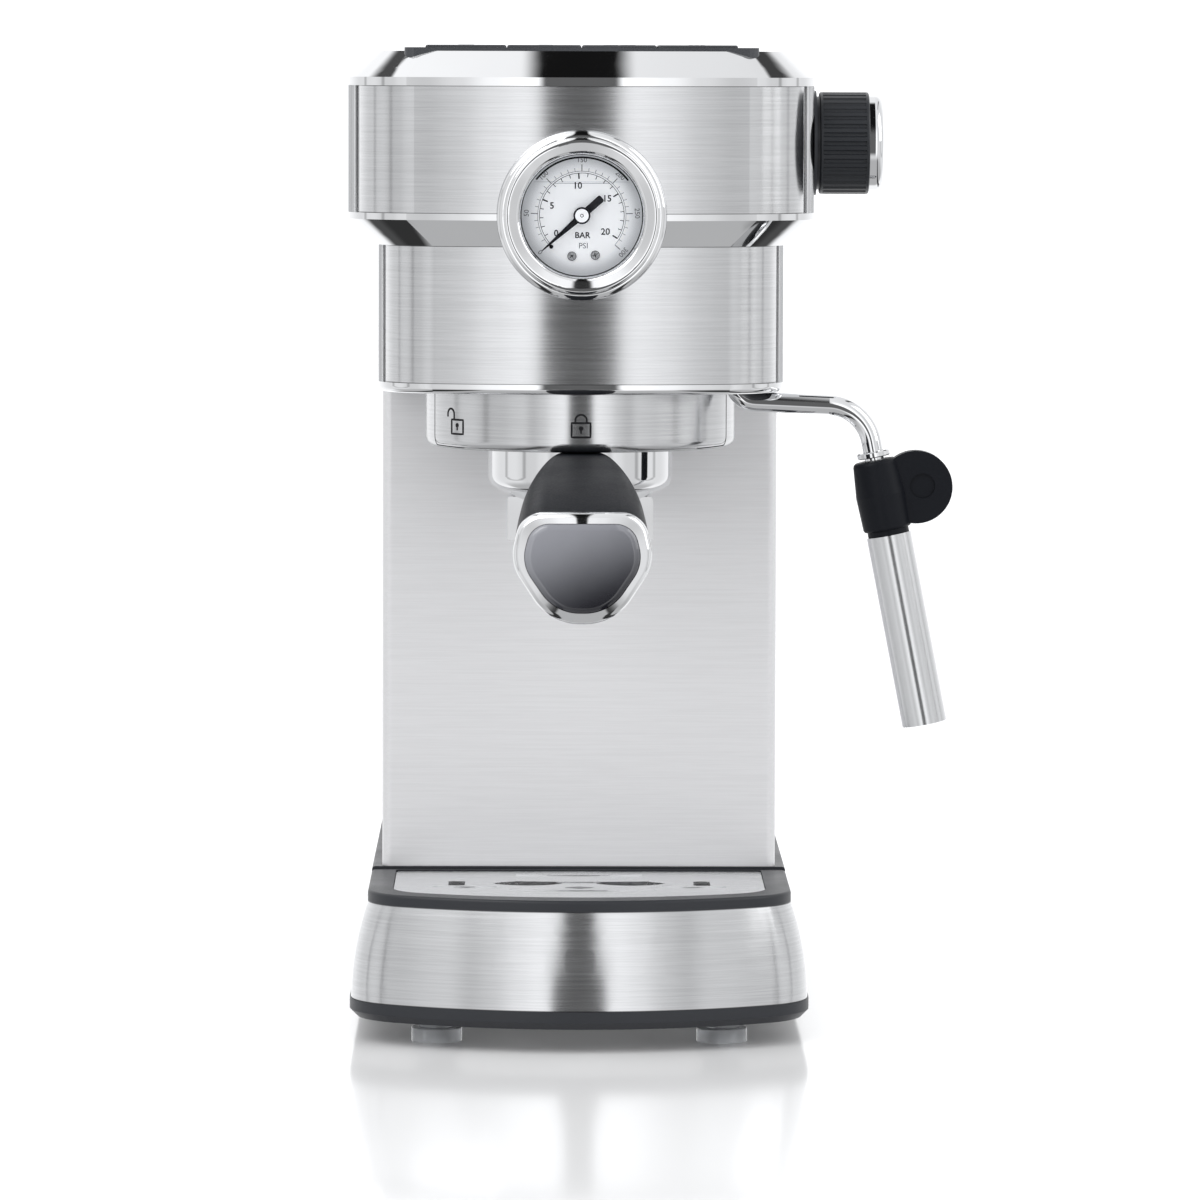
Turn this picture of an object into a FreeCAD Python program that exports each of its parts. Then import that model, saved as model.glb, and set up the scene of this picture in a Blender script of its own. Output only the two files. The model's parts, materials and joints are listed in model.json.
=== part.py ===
import FreeCAD, Part
import Sketcher
import math
import os
import re

# Espresso machine, one named sub-part per body.
# X runs to the right, Y to the back, Z up.  Lengths in mm, angles in degrees.
# Heights are taken from the table; depths from the front of the base; widths from the centre line.

# Sizes that stand on their own.  They go into the sheet.
SIZES = {
    # placing of the whole machine: its bounding box is centred over the origin
    "origin_x": 21.6, "origin_y": 98.9,
    # feet and base plate
    "foot_radius": 7.9, "foot_height": 4.5, "foot_inset": 26.9, "foot_front_y": 33, "foot_rear_inset": 32,
    "stud_radius": 5.5, "stud_height": 2.8, "screw_radius": 1.5, "plate_thick": 5.7, "plate_chamfer": 2.3,
    "plate_lip": 0.4,
    # base: flared steel skirt in front, shell behind
    "base_half": 71.4, "base_front": 0.4, "base_arc": 112, "base_corner": 25, "flare": 5.3, "flare_depth": 3.6,
    "skin_height": 30.5, "rim_height": 3.5, "deck_height": 4.3, "rim_corner": 22, "rear_corner": 10,
    "skin_wall": 1.2, "tray_gap": 0.05, "tub_inset": 9, "tub_wall": 2,
    # drip grate
    "rim_width": 8, "grate_front": 14.2, "grate_sheet": 1.5, "grate_corner": 16, "grate_play": 0.2,
    "drain_x": 16.2, "drain_y": 57, "drain_half": 11, "drain_peak": 15.6, "drain_round": 13,
    "slot_x": 38.6, "slot_half": 2.6, "slot_depth": 6,
    # column
    "column_front": 95, "column_half": 62.9, "column_height": 155.7, "panel_wall": 2, "panel_round": 3,
    "body_back": 216, "frame_gap": 2.9, "frame_wall": 1.5, "cover_wall": 2.5,
    # head: bottom trim, lower band, middle ring, upper band, top ring
    "floor_sheet": 2.4, "trim_drop": 0.7, "trim_wall": 3.2, "trim_round": 2, "low_band": 42.4, "low_corner": 22,
    "head_arc": 160, "low_seam": 36, "band_inset": 2.2, "ring_bevel": 8.1, "ring_edge": 2, "head_overhang": 9.4,
    "top_front": -2, "head_step": 8, "top_corner": 26, "top_seam": 34.5, "side_wall": 3, "side_step": 0.3,
    "high_band": 39.1, "cap_edge": 2.6, "cap_bevel": 8, "cap_inset": 8.6, "cap_rim": 9.2, "ring_corner": 28,
    "ring_foot_corner": 24,
    # top deck, cup warmer and buttons
    "deck_rise": 1.1, "warmer_rise": 0.5, "warmer_front": 78, "warmer_slots": 9, "button_rise": 0.8,
    "button_front": 22, "button_back": 50, "button_gap": 0.35, "button_play": 0.3, "board_sheet": 1.6,
    # pressure gauge, axis along Y
    "boss_radius": 26, "boss_wall": 3.4, "boss_reach": 6, "case_depth": 27.5, "case_wall": 1, "bezel_lip": 5.15,
    "bezel_depth": 3.5, "lens_sheet": 1.5, "dial_sheet": 0.7, "needle_sheet": 0.5, "needle_angle": 221.6,
    "hub_radius": 2.6,
    # steam knob, axis along X
    "knob_y": 50, "knob_rise": 21.3, "knob_radius": 15.85, "knob_length": 15.4, "knob_cap_length": 4.3,
    "rib_count": 36, "rib_cut": 0.8, "stem_radius": 3, "stem_length": 24.3,
    # steam wand: swivels about a vertical line at wand_x, wand_y
    "wand_inset": 15.4, "wand_clearance": 4.85, "nut_radius": 6.2, "tube_radius": 3.1, "bend_small": 7,
    "bend_large": 14, "wand_tilt": 11,
    "wand_reach": 48.4, "wand_hang": 39.7, "sleeve_radius": 6.95, "sleeve_length": 60, "sleeve_wall": 0.8,
    "grip_radius": 7.5, "grip_low": 1.6, "grip_high": 23.5, "tab_radius": 11.3, "tab_side": 11, "tab_up": 13,
    "tab_half": 3.2, "dimple_radius": 3.9,
    # brew group, vertical axis at x = 0
    "group_y": 58.5, "skirt_radius": 48.6, "skirt_height": 18.7, "skirt_wall": 2, "skirt_round": 2.8,
    "ledge_height": 2.5, "seal_height": 5, "heater_radius": 36, "heater_height": 37.1, "unlock_angle": 50,
    "turn_gap": 0.6,
    # portafilter
    "bowl_radius": 29, "bowl_wall": 1.8, "bowl_height": 21, "dome_height": 5.1, "lug_length": 4.6, "lug_half": 7,
    "lug_height": 2.9, "basket_gap": 1.2, "basket_wall": 0.5, "spout_half": 22.75, "spout_depth": 7,
    "spout_height": 13.6, "spout_leg": 9.5, "spout_bore": 2.6,
    # handle: the free end, and the proportions of its shield-shaped cross-section
    "handle_end_y": -80, "handle_half": 20.5, "handle_deep": 33.2, "handle_band": 3.3, "handle_band_depth": 5,
    "handle_dome": 1.2, "shield_wide": 1.05, "shield_high": 0.88, "shield_low": 0.47, "shield_waist": 0.55,
    # tank, pump and hoses
    "tank_gap": 2.5, "tank_depth": 63.5, "tank_height": 248.15, "tank_wall": 2.4, "tank_corner": 9,
    "lid_height": 4, "valve_radius": 8, "valve_drop": 4, "pump_x": -24, "pump_y": 150, "pump_radius": 19,
    "pump_length": 88, "hose_radius": 3, "gland_x": -40, "gland_radius": 6, "gland_reach": 2,
}

# Places and sizes that follow from the ones above, so that neighbours stay together.
FOLLOWS = {
    # heights, from the table upwards
    "plate_bottom": "foot_height + stud_height",
    "plate_top": "plate_bottom + plate_thick",
    "skin_top": "plate_top + skin_height",
    "rim_top": "skin_top + rim_height",
    "deck_top": "skin_top + deck_height",
    "grate_top": "rim_top - 0.5",
    "floor_bottom": "deck_top + column_height",
    "trim_bottom": "floor_bottom - trim_drop",
    "trim_top": "floor_bottom + floor_sheet",
    "ring_low": "trim_top + low_band",
    "ring_lip": "ring_low + ring_bevel",
    "ring_high": "ring_lip + ring_edge",
    "band_top": "ring_high + high_band",
    "cap_lip": "band_top + cap_edge",
    "cap_top": "cap_lip + cap_bevel",
    "top_deck_z": "cap_top + deck_rise",
    "warmer_top": "cap_top + warmer_rise",
    "button_top": "top_deck_z + button_rise",
    "button_base": "button_top - 5",
    "board_top": "cap_lip - 0.6",
    # widths
    "foot_x": "base_half - foot_inset",
    "rim_half": "base_half - flare",
    "grate_half": "rim_half - rim_width",
    "low_half": "column_half - band_inset",
    "side_half": "column_half + head_overhang",
    "top_half": "side_half - side_wall - side_step",
    "frame_half": "column_half - panel_wall - frame_gap",
    "ring_opening": "column_half - 6.9",
    "cap_opening": "side_half - cap_inset - cap_rim",
    "button_inner": "(cap_opening - 8.375 - 1.5 * button_gap) / 2",
    "button_outer": "button_inner + 2",
    "tank_half": "column_half - 2.9",
    # depths
    "rim_front": "base_front + flare_depth",
    "tray_back": "column_front - 1.5",
    "grate_back": "tray_back - 2",
    "column_wrap": "column_front + 6",
    "frame_front": "column_front + 3",
    "group_cut": "column_front - 0.5",
    "low_front": "top_front + head_step",
    "cap_front": "top_front + cap_inset + 0.9",
    "cap_hole_front": "top_front + 16",
    "cap_hole_back": "body_back - 12",
    "tank_front": "body_back + tank_gap",
    "tank_back": "tank_front + tank_depth",
    "base_rear": "tank_back",
    "foot_rear_y": "base_rear - foot_rear_inset",
    "gland_out": "base_rear + gland_reach",
    "gland_z": "plate_top + 15",
    # gauge
    "gauge_z": "ring_high - 0.2",
    "case_radius": "boss_radius - boss_wall",
    "bezel_radius": "case_radius + 1.25",
    "dial_radius": "bezel_radius - bezel_lip",
    "lens_radius": "dial_radius + 1.8",
    "boss_front": "top_front - boss_reach",
    "boss_back": "boss_front + 20",
    "case_front": "boss_front - 1.5",
    "case_back": "case_front + case_depth",
    "bezel_front": "case_front - bezel_depth",
    "lens_back": "case_front - 0.4",
    "lens_front": "lens_back - lens_sheet",
    "dial_face": "case_front + 4.5",
    "needle_front": "dial_face - 2.2",
    "needle_tip": "dial_radius - 2.5",
    "needle_tail": "dial_radius - 10.5",
    # knob and wand
    "knob_z": "ring_high + knob_rise",
    "collar_end": "side_half + 0.9",
    "groove_end": "collar_end + 1",
    "knob_end": "groove_end + knob_length",
    "knob_cap_end": "knob_end + knob_cap_length",
    "collar_radius": "knob_radius + 0.4",
    "groove_radius": "knob_radius - 1.35",
    "knob_cap_radius": "knob_radius - 0.65",
    "stem_start": "side_half - stem_length",
    "tube_bore": "tube_radius - 1",
    "wand_x": "column_half - wand_inset",
    "wand_y": "group_y - sqrt((skirt_radius + wand_clearance) * (skirt_radius + wand_clearance) - wand_x * wand_x)",
    "wand_top": "trim_top + 8.1",
    "wand_level": "trim_bottom + 0.3 - tube_radius",
    "wand_drop": "wand_level - 1.8",
    "sleeve_x": "wand_x + wand_reach",
    "sleeve_z": "wand_drop - wand_hang",
    "nozzle_radius": "sleeve_radius - sleeve_wall - 0.1",
    # brew group
    "skirt_bottom": "floor_bottom - skirt_height",
    "ledge_bottom": "skirt_bottom + skirt_wall + 0.1",
    "ledge_top": "ledge_bottom + ledge_height",
    "lug_bottom": "ledge_top + 0.1",
    "lug_top": "lug_bottom + lug_height",
    "seal_bottom": "lug_top + 1.6",
    "seal_top": "seal_bottom + seal_height",
    "ledge_hole": "bowl_radius + turn_gap",
    "lug_reach": "bowl_radius + lug_length",
    "cavity_radius": "sqrt(lug_reach * lug_reach + lug_half * lug_half) + turn_gap - 0.1",
    "seal_radius": "cavity_radius - 2.3",
    "group_radius": "skirt_radius - skirt_wall - 1.6",
    "screen_bottom": "seal_bottom - 1.3",
    "heater_top": "trim_top + heater_height",
    # portafilter
    "bowl_bore": "bowl_radius - bowl_wall",
    "bowl_top": "seal_bottom - 0.6",
    "bowl_low": "bowl_top - bowl_height",
    "dome_z": "bowl_low - dome_height",
    "dome_floor": "dome_z - 1.8",
    "dome_radius": "bowl_radius - 11.3",
    "floor_radius": "dome_radius - 8.7",
    "bowl_floor": "bowl_low - 2",
    "basket_radius": "bowl_bore - basket_gap - basket_wall",
    "basket_floor": "bowl_low + 0.2",
    "seal_bore": "basket_radius + 0.3",
    "screen_radius": "basket_radius - 1",
    "spout_top": "bowl_low - 3.5",
    "spout_bottom": "spout_top - spout_height",
    "spout_arch": "spout_bottom + 5.2",
    "handle_root_y": "group_y - bowl_radius + 3.5",
    "handle_top": "bowl_low + 0.1",
    "handle_base": "handle_top - handle_deep",
    "handle_tip_y": "handle_end_y - handle_band_depth",
    "cap_tip_y": "handle_tip_y - handle_dome",
    # tank and pump
    "tank_bottom": "deck_top + 0.05",
    "tank_top": "tank_bottom + tank_height",
    "lid_top": "tank_top + lid_height",
    "pump_low": "deck_top + 14.2",
    "pump_high": "pump_low + pump_length",
}

doc = FreeCAD.newDocument("espresso_machine")
sheet = doc.addObject("Spreadsheet::Sheet", "sizes")
for row, (name, value) in enumerate(SIZES.items(), start=1):
    sheet.set("A%d" % row, name)
    sheet.set("B%d" % row, str(value))
    sheet.setAlias("B%d" % row, name)
doc.recompute()

WORD = re.compile(r"[a-z_][a-z0-9_]*")


def expand(expr):
    """Write an expression in terms of the sheet's own sizes."""
    while any(word in FOLLOWS for word in WORD.findall(expr)):
        expr = WORD.sub(lambda m: "(%s)" % FOLLOWS[m.group()] if m.group() in FOLLOWS else m.group(), expr)
    return expr


def num(expr):
    return float(sheet.evalExpression(expand(expr)))


def bind(target, prop, expr):
    """Tie a property to the sheet."""
    scoped = WORD.sub(lambda m: ("sizes." if m.group() in SIZES else "") + m.group(), expand(expr))
    target.setExpression(prop, scoped)


# ---- sketch outlines -------------------------------------------------------------------------------

def constrain(sketch, kind, *refs):
    return sketch.addConstraint(Sketcher.Constraint(kind, *refs))


def measure(sketch, kind, refs, expr):
    index = constrain(sketch, kind, *(tuple(refs) + (num(expr),)))
    bind(sketch, "Constraints[%d]" % index, expr)


def pin(sketch, geo, pos, x, y):
    measure(sketch, "DistanceX", (geo, pos), x)
    measure(sketch, "DistanceY", (geo, pos), y)


def circle(x, y, radius):
    def draw(sketch):
        shape = Part.Circle(FreeCAD.Vector(num(x), num(y), 0), FreeCAD.Vector(0, 0, 1), num(radius))
        geo = sketch.addGeometry(shape)
        measure(sketch, "Radius", (geo,), radius)
        pin(sketch, geo, 3, x, y)
    return draw


def arc_between(centre, start, end):
    """Anticlockwise arc from start to end."""
    first = math.atan2(start.y - centre.y, start.x - centre.x)
    last = math.atan2(end.y - centre.y, end.x - centre.x)
    if last <= first:
        last += 2 * math.pi
    full = Part.Circle(centre, FreeCAD.Vector(0, 0, 1), (start - centre).Length)
    return Part.ArcOfCircle(full, first, last)


def outline(*corners, closed=True):
    """Straight edges through corners given as (x, y) or, rounded, as (x, y, radius)."""
    def draw(sketch):
        total = len(corners)
        points = [FreeCAD.Vector(num(c[0]), num(c[1]), 0) for c in corners]
        enter, leave, arcs = list(points), list(points), {}
        for i, corner in enumerate(corners):
            if len(corner) < 3:
                continue
            radius = num(corner[2])
            before = (points[i] - points[i - 1]).normalize()
            after = (points[(i + 1) % total] - points[i]).normalize()
            turn = before.getAngle(after)
            enter[i] = points[i] - before * (radius * math.tan(turn / 2))
            leave[i] = points[i] + after * (radius * math.tan(turn / 2))
            left = before.x * after.y - before.y * after.x > 0
            side = FreeCAD.Vector(-before.y, before.x, 0) * (radius if left else -radius)
            arcs[i] = (enter[i] + side, left)
        last = total if closed else total - 1
        lines = [sketch.addGeometry(Part.LineSegment(leave[i], enter[(i + 1) % total])) for i in range(last)]
        for i, corner in enumerate(corners):
            has_before = closed or i > 0
            has_after = closed or i < total - 1
            if i not in arcs:
                if has_before and has_after:
                    constrain(sketch, "Coincident", lines[i - 1], 2, lines[i], 1)
                pin(sketch, lines[i] if has_after else lines[i - 1], 1 if has_after else 2, corner[0], corner[1])
                continue
            centre, left = arcs[i]
            ends = (enter[i], leave[i]) if left else (leave[i], enter[i])
            arc = sketch.addGeometry(arc_between(centre, *ends))
            constrain(sketch, "Tangent", lines[i - 1], 2, arc, 1 if left else 2)
            constrain(sketch, "Tangent", arc, 2 if left else 1, lines[i], 1)
            measure(sketch, "Radius", (arc,), corner[2])
            mark = sketch.addGeometry(Part.Point(points[i]), True)
            pin(sketch, mark, 1, corner[0], corner[1])
            constrain(sketch, "PointOnObject", mark, 1, lines[i - 1])
            constrain(sketch, "PointOnObject", mark, 1, lines[i])
    return draw


def box(x0, y0, x1, y1, radius=None):
    corners = [(x0, y0), (x1, y0), (x1, y1), (x0, y1)]
    return outline(*[c + ((radius,) if radius else ()) for c in corners])


def plan(half, front, back, arc, corner, rear="2"):
    """Outline seen from above: bowed front, rounded corners, straight sides and back."""
    def draw(sketch):
        wide, big, small, tail = num(half), num(arc), num(corner), num(rear)
        middle = FreeCAD.Vector(0, num(front) + big, 0)
        drop = math.sqrt((big - small) ** 2 - (wide - small) ** 2)
        right = FreeCAD.Vector(wide - small, middle.y - drop, 0)
        left = FreeCAD.Vector(-right.x, right.y, 0)
        touch = middle + (right - middle).normalize() * big
        mirror = FreeCAD.Vector(-touch.x, touch.y, 0)
        end = num(back)
        vec = FreeCAD.Vector
        pieces = [
            Part.LineSegment(vec(wide, right.y, 0), vec(wide, end - tail, 0)),
            arc_between(vec(wide - tail, end - tail, 0), vec(wide, end - tail, 0), vec(wide - tail, end, 0)),
            Part.LineSegment(vec(wide - tail, end, 0), vec(tail - wide, end, 0)),
            arc_between(vec(tail - wide, end - tail, 0), vec(tail - wide, end, 0), vec(-wide, end - tail, 0)),
            Part.LineSegment(vec(-wide, end - tail, 0), vec(-wide, left.y, 0)),
            arc_between(left, vec(-wide, left.y, 0), mirror),
            arc_between(middle, mirror, touch),
            arc_between(right, touch, vec(wide, right.y, 0)),
        ]
        geo = [sketch.addGeometry(piece) for piece in pieces]
        for i in range(8):
            constrain(sketch, "Tangent", geo[i], 2, geo[(i + 1) % 8], 1)
        for i, size in ((1, rear), (3, rear), (5, corner), (6, arc), (7, corner)):
            measure(sketch, "Radius", (geo[i],), size)
        for i, kind in ((0, "Vertical"), (4, "Vertical"), (2, "Horizontal")):
            constrain(sketch, kind, geo[i])
        measure(sketch, "DistanceX", (geo[0], 1), half)
        measure(sketch, "DistanceX", (geo[4], 1), "-(%s)" % half)
        measure(sketch, "DistanceY", (geo[2], 1), back)
        constrain(sketch, "PointOnObject", geo[6], 3, -2)
        measure(sketch, "DistanceY", (geo[6], 3), "%s + %s" % (front, arc))
    return draw


# ---- sub-parts ---------------------------------------------------------------------------------------

SUBPARTS = []


class SubPart:
    """A body whose features take their sizes from the sheet."""

    def __init__(self, label):
        self.body = doc.addObject("PartDesign::Body", label)
        self.body.Label = label
        self.label = label
        SUBPARTS.append(self)

    def datum(self, role):
        return [item for item in self.body.Origin.OriginFeatures if item.Role == role][0]

    def sketch(self, plane, offset, *shapes, at=("0", "0"), spin=None):
        """Sketch on a main plane; offset runs along +Z, +X or, for the XZ plane, along +Y."""
        drawing = self.body.newObject("Sketcher::SketchObject", self.label + "_sketch")
        drawing.AttachmentSupport = (self.datum(plane + "_Plane"), [""])
        drawing.MapMode = "FlatFace"
        bind(drawing, "AttachmentOffset.Base.x", at[0])
        bind(drawing, "AttachmentOffset.Base.y", at[1])
        bind(drawing, "AttachmentOffset.Base.z", "-(%s)" % offset if plane == "XZ" else offset)
        if spin:
            bind(drawing, "AttachmentOffset.Rotation.Angle", spin)
        for shape in shapes:
            shape(drawing)
        return drawing

    def feature(self, kind, **props):
        item = self.body.newObject("PartDesign::" + kind, self.label + "_" + kind.lower())
        for key, value in props.items():
            setattr(item, key, value)
        return item

    def extrude(self, kind, plane, low, high, shapes, **where):
        start = high if plane == "XZ" else low
        item = self.feature(kind, Profile=self.sketch(plane, start, *shapes, **where))
        bind(item, "Length", "(%s) - (%s)" % (high, low))
        item.Reversed = kind == "Pocket"
        doc.recompute()
        return item

    def add(self, plane, low, high, *shapes, **where):
        return self.extrude("Pad", plane, low, high, shapes, **where)

    def cut(self, plane, low, high, *shapes, **where):
        return self.extrude("Pocket", plane, low, high, shapes, **where)

    def turn(self, plane, offset, shape, axis="V_Axis", kind="Revolution", **where):
        drawing = self.sketch(plane, offset, shape, **where)
        item = self.feature(kind, Profile=drawing, ReferenceAxis=(drawing, [axis]), Angle=360)
        doc.recompute()
        return item

    def loft(self, plane, sections, kind="AdditiveLoft", ruled=False):
        drawings = [self.sketch(plane, offset, shape) for offset, shape in sections]
        item = self.feature(kind, Profile=drawings[0], Sections=drawings[1:], Ruled=ruled)
        doc.recompute()
        return item

    def pipe(self, spine, section, kind="AdditivePipe"):
        item = self.feature(kind, Profile=section, Spine=(spine, [""]))
        item.Transition = "Right corner"
        doc.recompute()
        return item

    def around(self, original, axis, count):
        """Repeat a feature around an axis of its own sketch."""
        item = self.feature("PolarPattern", Originals=[original], Axis=axis, Angle=360, Occurrences=count)
        self.body.Tip = item
        doc.recompute()
        return item

    def along(self, original, axis, count, length):
        """Repeat a feature in a row."""
        item = self.feature("LinearPattern", Originals=[original], Direction=(self.datum(axis), [""]),
                            Occurrences=int(num(count)))
        bind(item, "Length", length)
        self.body.Tip = item
        doc.recompute()
        return item

    def soften(self, size, chosen, kind="Fillet"):
        """Round or bevel the edges picked by a test on their bounding boxes."""
        tip = self.body.Tip
        names = ["Edge%d" % (i + 1) for i, edge in enumerate(tip.Shape.Edges) if chosen(edge.BoundBox)]
        item = self.feature(kind, Base=(tip, names))
        bind(item, "Radius" if kind == "Fillet" else "Size", size)
        doc.recompute()
        return item


def level(axis, expr, slack=0.02):
    """Edges that lie wholly at one height, depth or width."""
    value = num(expr)

    def chosen(bounds):
        low, high = getattr(bounds, axis + "Min"), getattr(bounds, axis + "Max")
        return abs(low - value) < slack and abs(high - value) < slack
    return chosen


def both(*tests):
    return lambda bounds: all(test(bounds) for test in tests)


FOOT_SPOTS = [(sign + "foot_x", depth) for sign in ("-", "") for depth in ("foot_front_y", "foot_rear_y")]
GROUP = ("0", "group_y")


def feet_and_base():
    feet = SubPart("feet")
    feet.add("XY", "0", "foot_height", *[circle(x, y, "foot_radius") for x, y in FOOT_SPOTS])
    feet.soften("0.6", level("Z", "foot_height"))
    feet.add("XY", "foot_height", "plate_bottom", *[circle(x, y, "stud_radius") for x, y in FOOT_SPOTS])
    feet.cut("XY", "0", "2.4", *[circle(x, y, "screw_radius * 2.2") for x, y in FOOT_SPOTS])
    feet.cut("XY", "0", "plate_bottom", *[circle(x, y, "screw_radius") for x, y in FOOT_SPOTS])

    screws = SubPart("foot_screws")
    screws.add("XY", "1", "2.4", *[circle(x, y, "screw_radius * 2") for x, y in FOOT_SPOTS])
    screws.add("XY", "2.4", "plate_top - 1", *[circle(x, y, "screw_radius") for x, y in FOOT_SPOTS])

    plate = SubPart("base_plate")
    plate.add("XY", "plate_bottom", "plate_top",
              plan("base_half + plate_lip", "base_front - plate_lip", "base_rear", "base_arc", "base_corner",
                   "rear_corner"))
    plate.soften("plate_chamfer", level("Z", "plate_bottom"), kind="Chamfer")
    plate.cut("XY", "plate_bottom", "plate_top - 1", *[circle(x, y, "screw_radius") for x, y in FOOT_SPOTS])


def tray_and_base():
    sections = [("plate_top", "base_half", "base_front"),
                ("plate_top + skin_height * 0.43", "base_half - flare * 0.19", "base_front + flare_depth * 0.19"),
                ("skin_top", "rim_half", "rim_front")]
    corners = ["base_corner", "base_corner - 1", "rim_corner"]

    skin = SubPart("drip_tray_skin")
    lift = {"plate_top": "plate_top + tray_gap"}
    skin.loft("XY", [(lift.get(z, z), plan(half, front, "tray_back", "base_arc", corner))
                     for (z, half, front), corner in zip(sections, corners)])
    skin.loft("XY", [(lift.get(z, z), plan(half + " - skin_wall", front + " + skin_wall", "tray_back + 8",
                                           "base_arc - skin_wall", corner + " - skin_wall"))
                     for (z, half, front), corner in zip(sections, corners)], kind="SubtractiveLoft")

    tray = SubPart("drip_tray")
    tray.add("XY", "skin_top", "rim_top", plan("rim_half", "rim_front", "tray_back", "base_arc", "rim_corner"))
    tray.soften("1", both(level("Z", "rim_top"), lambda bounds: bounds.YMax < num("tray_back") - 0.5))
    tray.add("XY", "plate_top + tray_gap", "skin_top",
             plan("rim_half - tub_inset + tub_wall", "rim_front + tub_inset - tub_wall", "tray_back",
                  "base_arc", "rim_corner - tub_wall"))
    tray.cut("XY", "plate_top + tub_wall", "rim_top",
             plan("rim_half - tub_inset", "rim_front + tub_inset + 2", "grate_back - 3", "base_arc",
                  "grate_corner - 2"))
    tray.cut("XY", "grate_top - grate_sheet", "rim_top",
             plan("grate_half + grate_play", "grate_front - grate_play", "grate_back + grate_play",
                  "base_arc", "grate_corner"))

    grate = SubPart("drip_grate")
    grate.add("XY", "grate_top - grate_sheet", "grate_top",
              plan("grate_half", "grate_front", "grate_back", "base_arc", "grate_corner"))
    for side in ("-", ""):
        drain = side + "drain_x"
        grate.cut("XY", "grate_top - grate_sheet", "grate_top",
                  outline((drain + " - drain_half", "drain_y"), (drain, "drain_y - drain_peak", "drain_round"),
                          (drain + " + drain_half", "drain_y"), (drain, "drain_y + drain_peak", "drain_round")))
        slot = side + "slot_x"
        grate.cut("XY", "grate_top - grate_sheet", "grate_top",
                  box(slot + " - slot_half", "drain_y - slot_depth", slot + " + slot_half",
                      "drain_y + slot_depth", "1"))

    def rear_box(inset, front):
        def shape(half):
            wide = "%s - %s" % (half, inset)
            back = "base_rear - " + inset
            return outline(("-(%s)" % wide, front), (wide, front), (wide, back, "rear_corner - " + inset),
                           ("-(%s)" % wide, back, "rear_corner - " + inset))
        return shape

    shell = SubPart("base_shell")
    shell.loft("XY", [(z, rear_box("0", "tray_back + 0.5")(half)) for z, half, front in sections])
    shell.loft("XY", [(z, rear_box("skin_wall", "tray_back + 0.5 + skin_wall")(half))
                      for z, half, front in sections], kind="SubtractiveLoft")
    shell.cut("XZ", "base_rear - 3", "base_rear + 1", circle("gland_x", "gland_z", "gland_radius - 1.5"))

    deck = SubPart("base_deck")
    deck.add("XY", "skin_top", "deck_top", rear_box("0", "tray_back + 0.5")("rim_half"))
    deck.soften("1", both(level("Z", "deck_top"), lambda bounds: bounds.YMax > num("tray_back") + 1))
    deck.cut("XY", "skin_top", "deck_top", circle("0", "(tank_front + tank_back) / 2", "valve_radius + 0.4"))
    deck.cut("XY", "skin_top", "deck_top", box("-30", "column_wrap + 20", "10", "body_back - 20", "4"))

    gland = SubPart("cord_gland")
    gland.add("XZ", "base_rear", "gland_out", circle("gland_x", "gland_z", "gland_radius"))
    gland.add("XZ", "base_rear - 6", "base_rear", circle("gland_x", "gland_z", "gland_radius - 1.5"))
    gland.cut("XZ", "base_rear - 6", "gland_out", circle("gland_x", "gland_z", "gland_radius - 3"))


def column():
    panel = SubPart("column_front_panel")
    panel.add("XY", "deck_top", "floor_bottom",
              outline(("-column_half", "column_wrap"), ("-column_half", "column_front", "panel_round"),
                      ("column_half", "column_front", "panel_round"), ("column_half", "column_wrap"),
                      ("column_half - skin_wall", "column_wrap"),
                      ("column_half - skin_wall", "column_front + skin_wall", "panel_round - skin_wall"),
                      ("skin_wall - column_half", "column_front + skin_wall", "panel_round - skin_wall"),
                      ("skin_wall - column_half", "column_wrap")))

    side_shape = outline(("column_wrap", "deck_top"), ("body_back", "deck_top"), ("body_back", "ring_low"),
                         ("low_seam", "ring_low"), ("low_seam", "trim_top"), ("column_wrap", "trim_top"))
    for name, low, high, outer in (("side_panel_left", "-column_half", "panel_wall - column_half", "-column_half"),
                                   ("side_panel_right", "column_half - panel_wall", "column_half", "column_half")):
        side = SubPart(name)
        side.add("YZ", low, high, side_shape)
        side.soften("1.5", both(level("X", outer), level("Y", "low_seam")))

    frame = SubPart("chassis")
    frame.add("XY", "deck_top", "floor_bottom",
              box("-frame_half", "frame_front", "frame_half", "frame_front + frame_wall"))
    for low, high in (("-frame_half", "frame_wall - frame_half"), ("frame_half - frame_wall", "frame_half")):
        frame.add("YZ", low, high, box("frame_front", "deck_top", "body_back - cover_wall", "ring_low"))

    cover = SubPart("rear_cover")
    low_half, high_half = "column_half - panel_wall", "side_half - side_wall"
    cover.add("XZ", "body_back - cover_wall", "body_back",
              box("-(%s)" % low_half, "deck_top", low_half, "ring_low"),
              box("-(%s)" % high_half, "ring_high", high_half, "band_top"))
    for step in range(8):
        height = "80 + %d" % (step * 8)
        cover.cut("XZ", "body_back - cover_wall", "body_back", box("-22", height, "22", height + " + 3", "1.2"))


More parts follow.
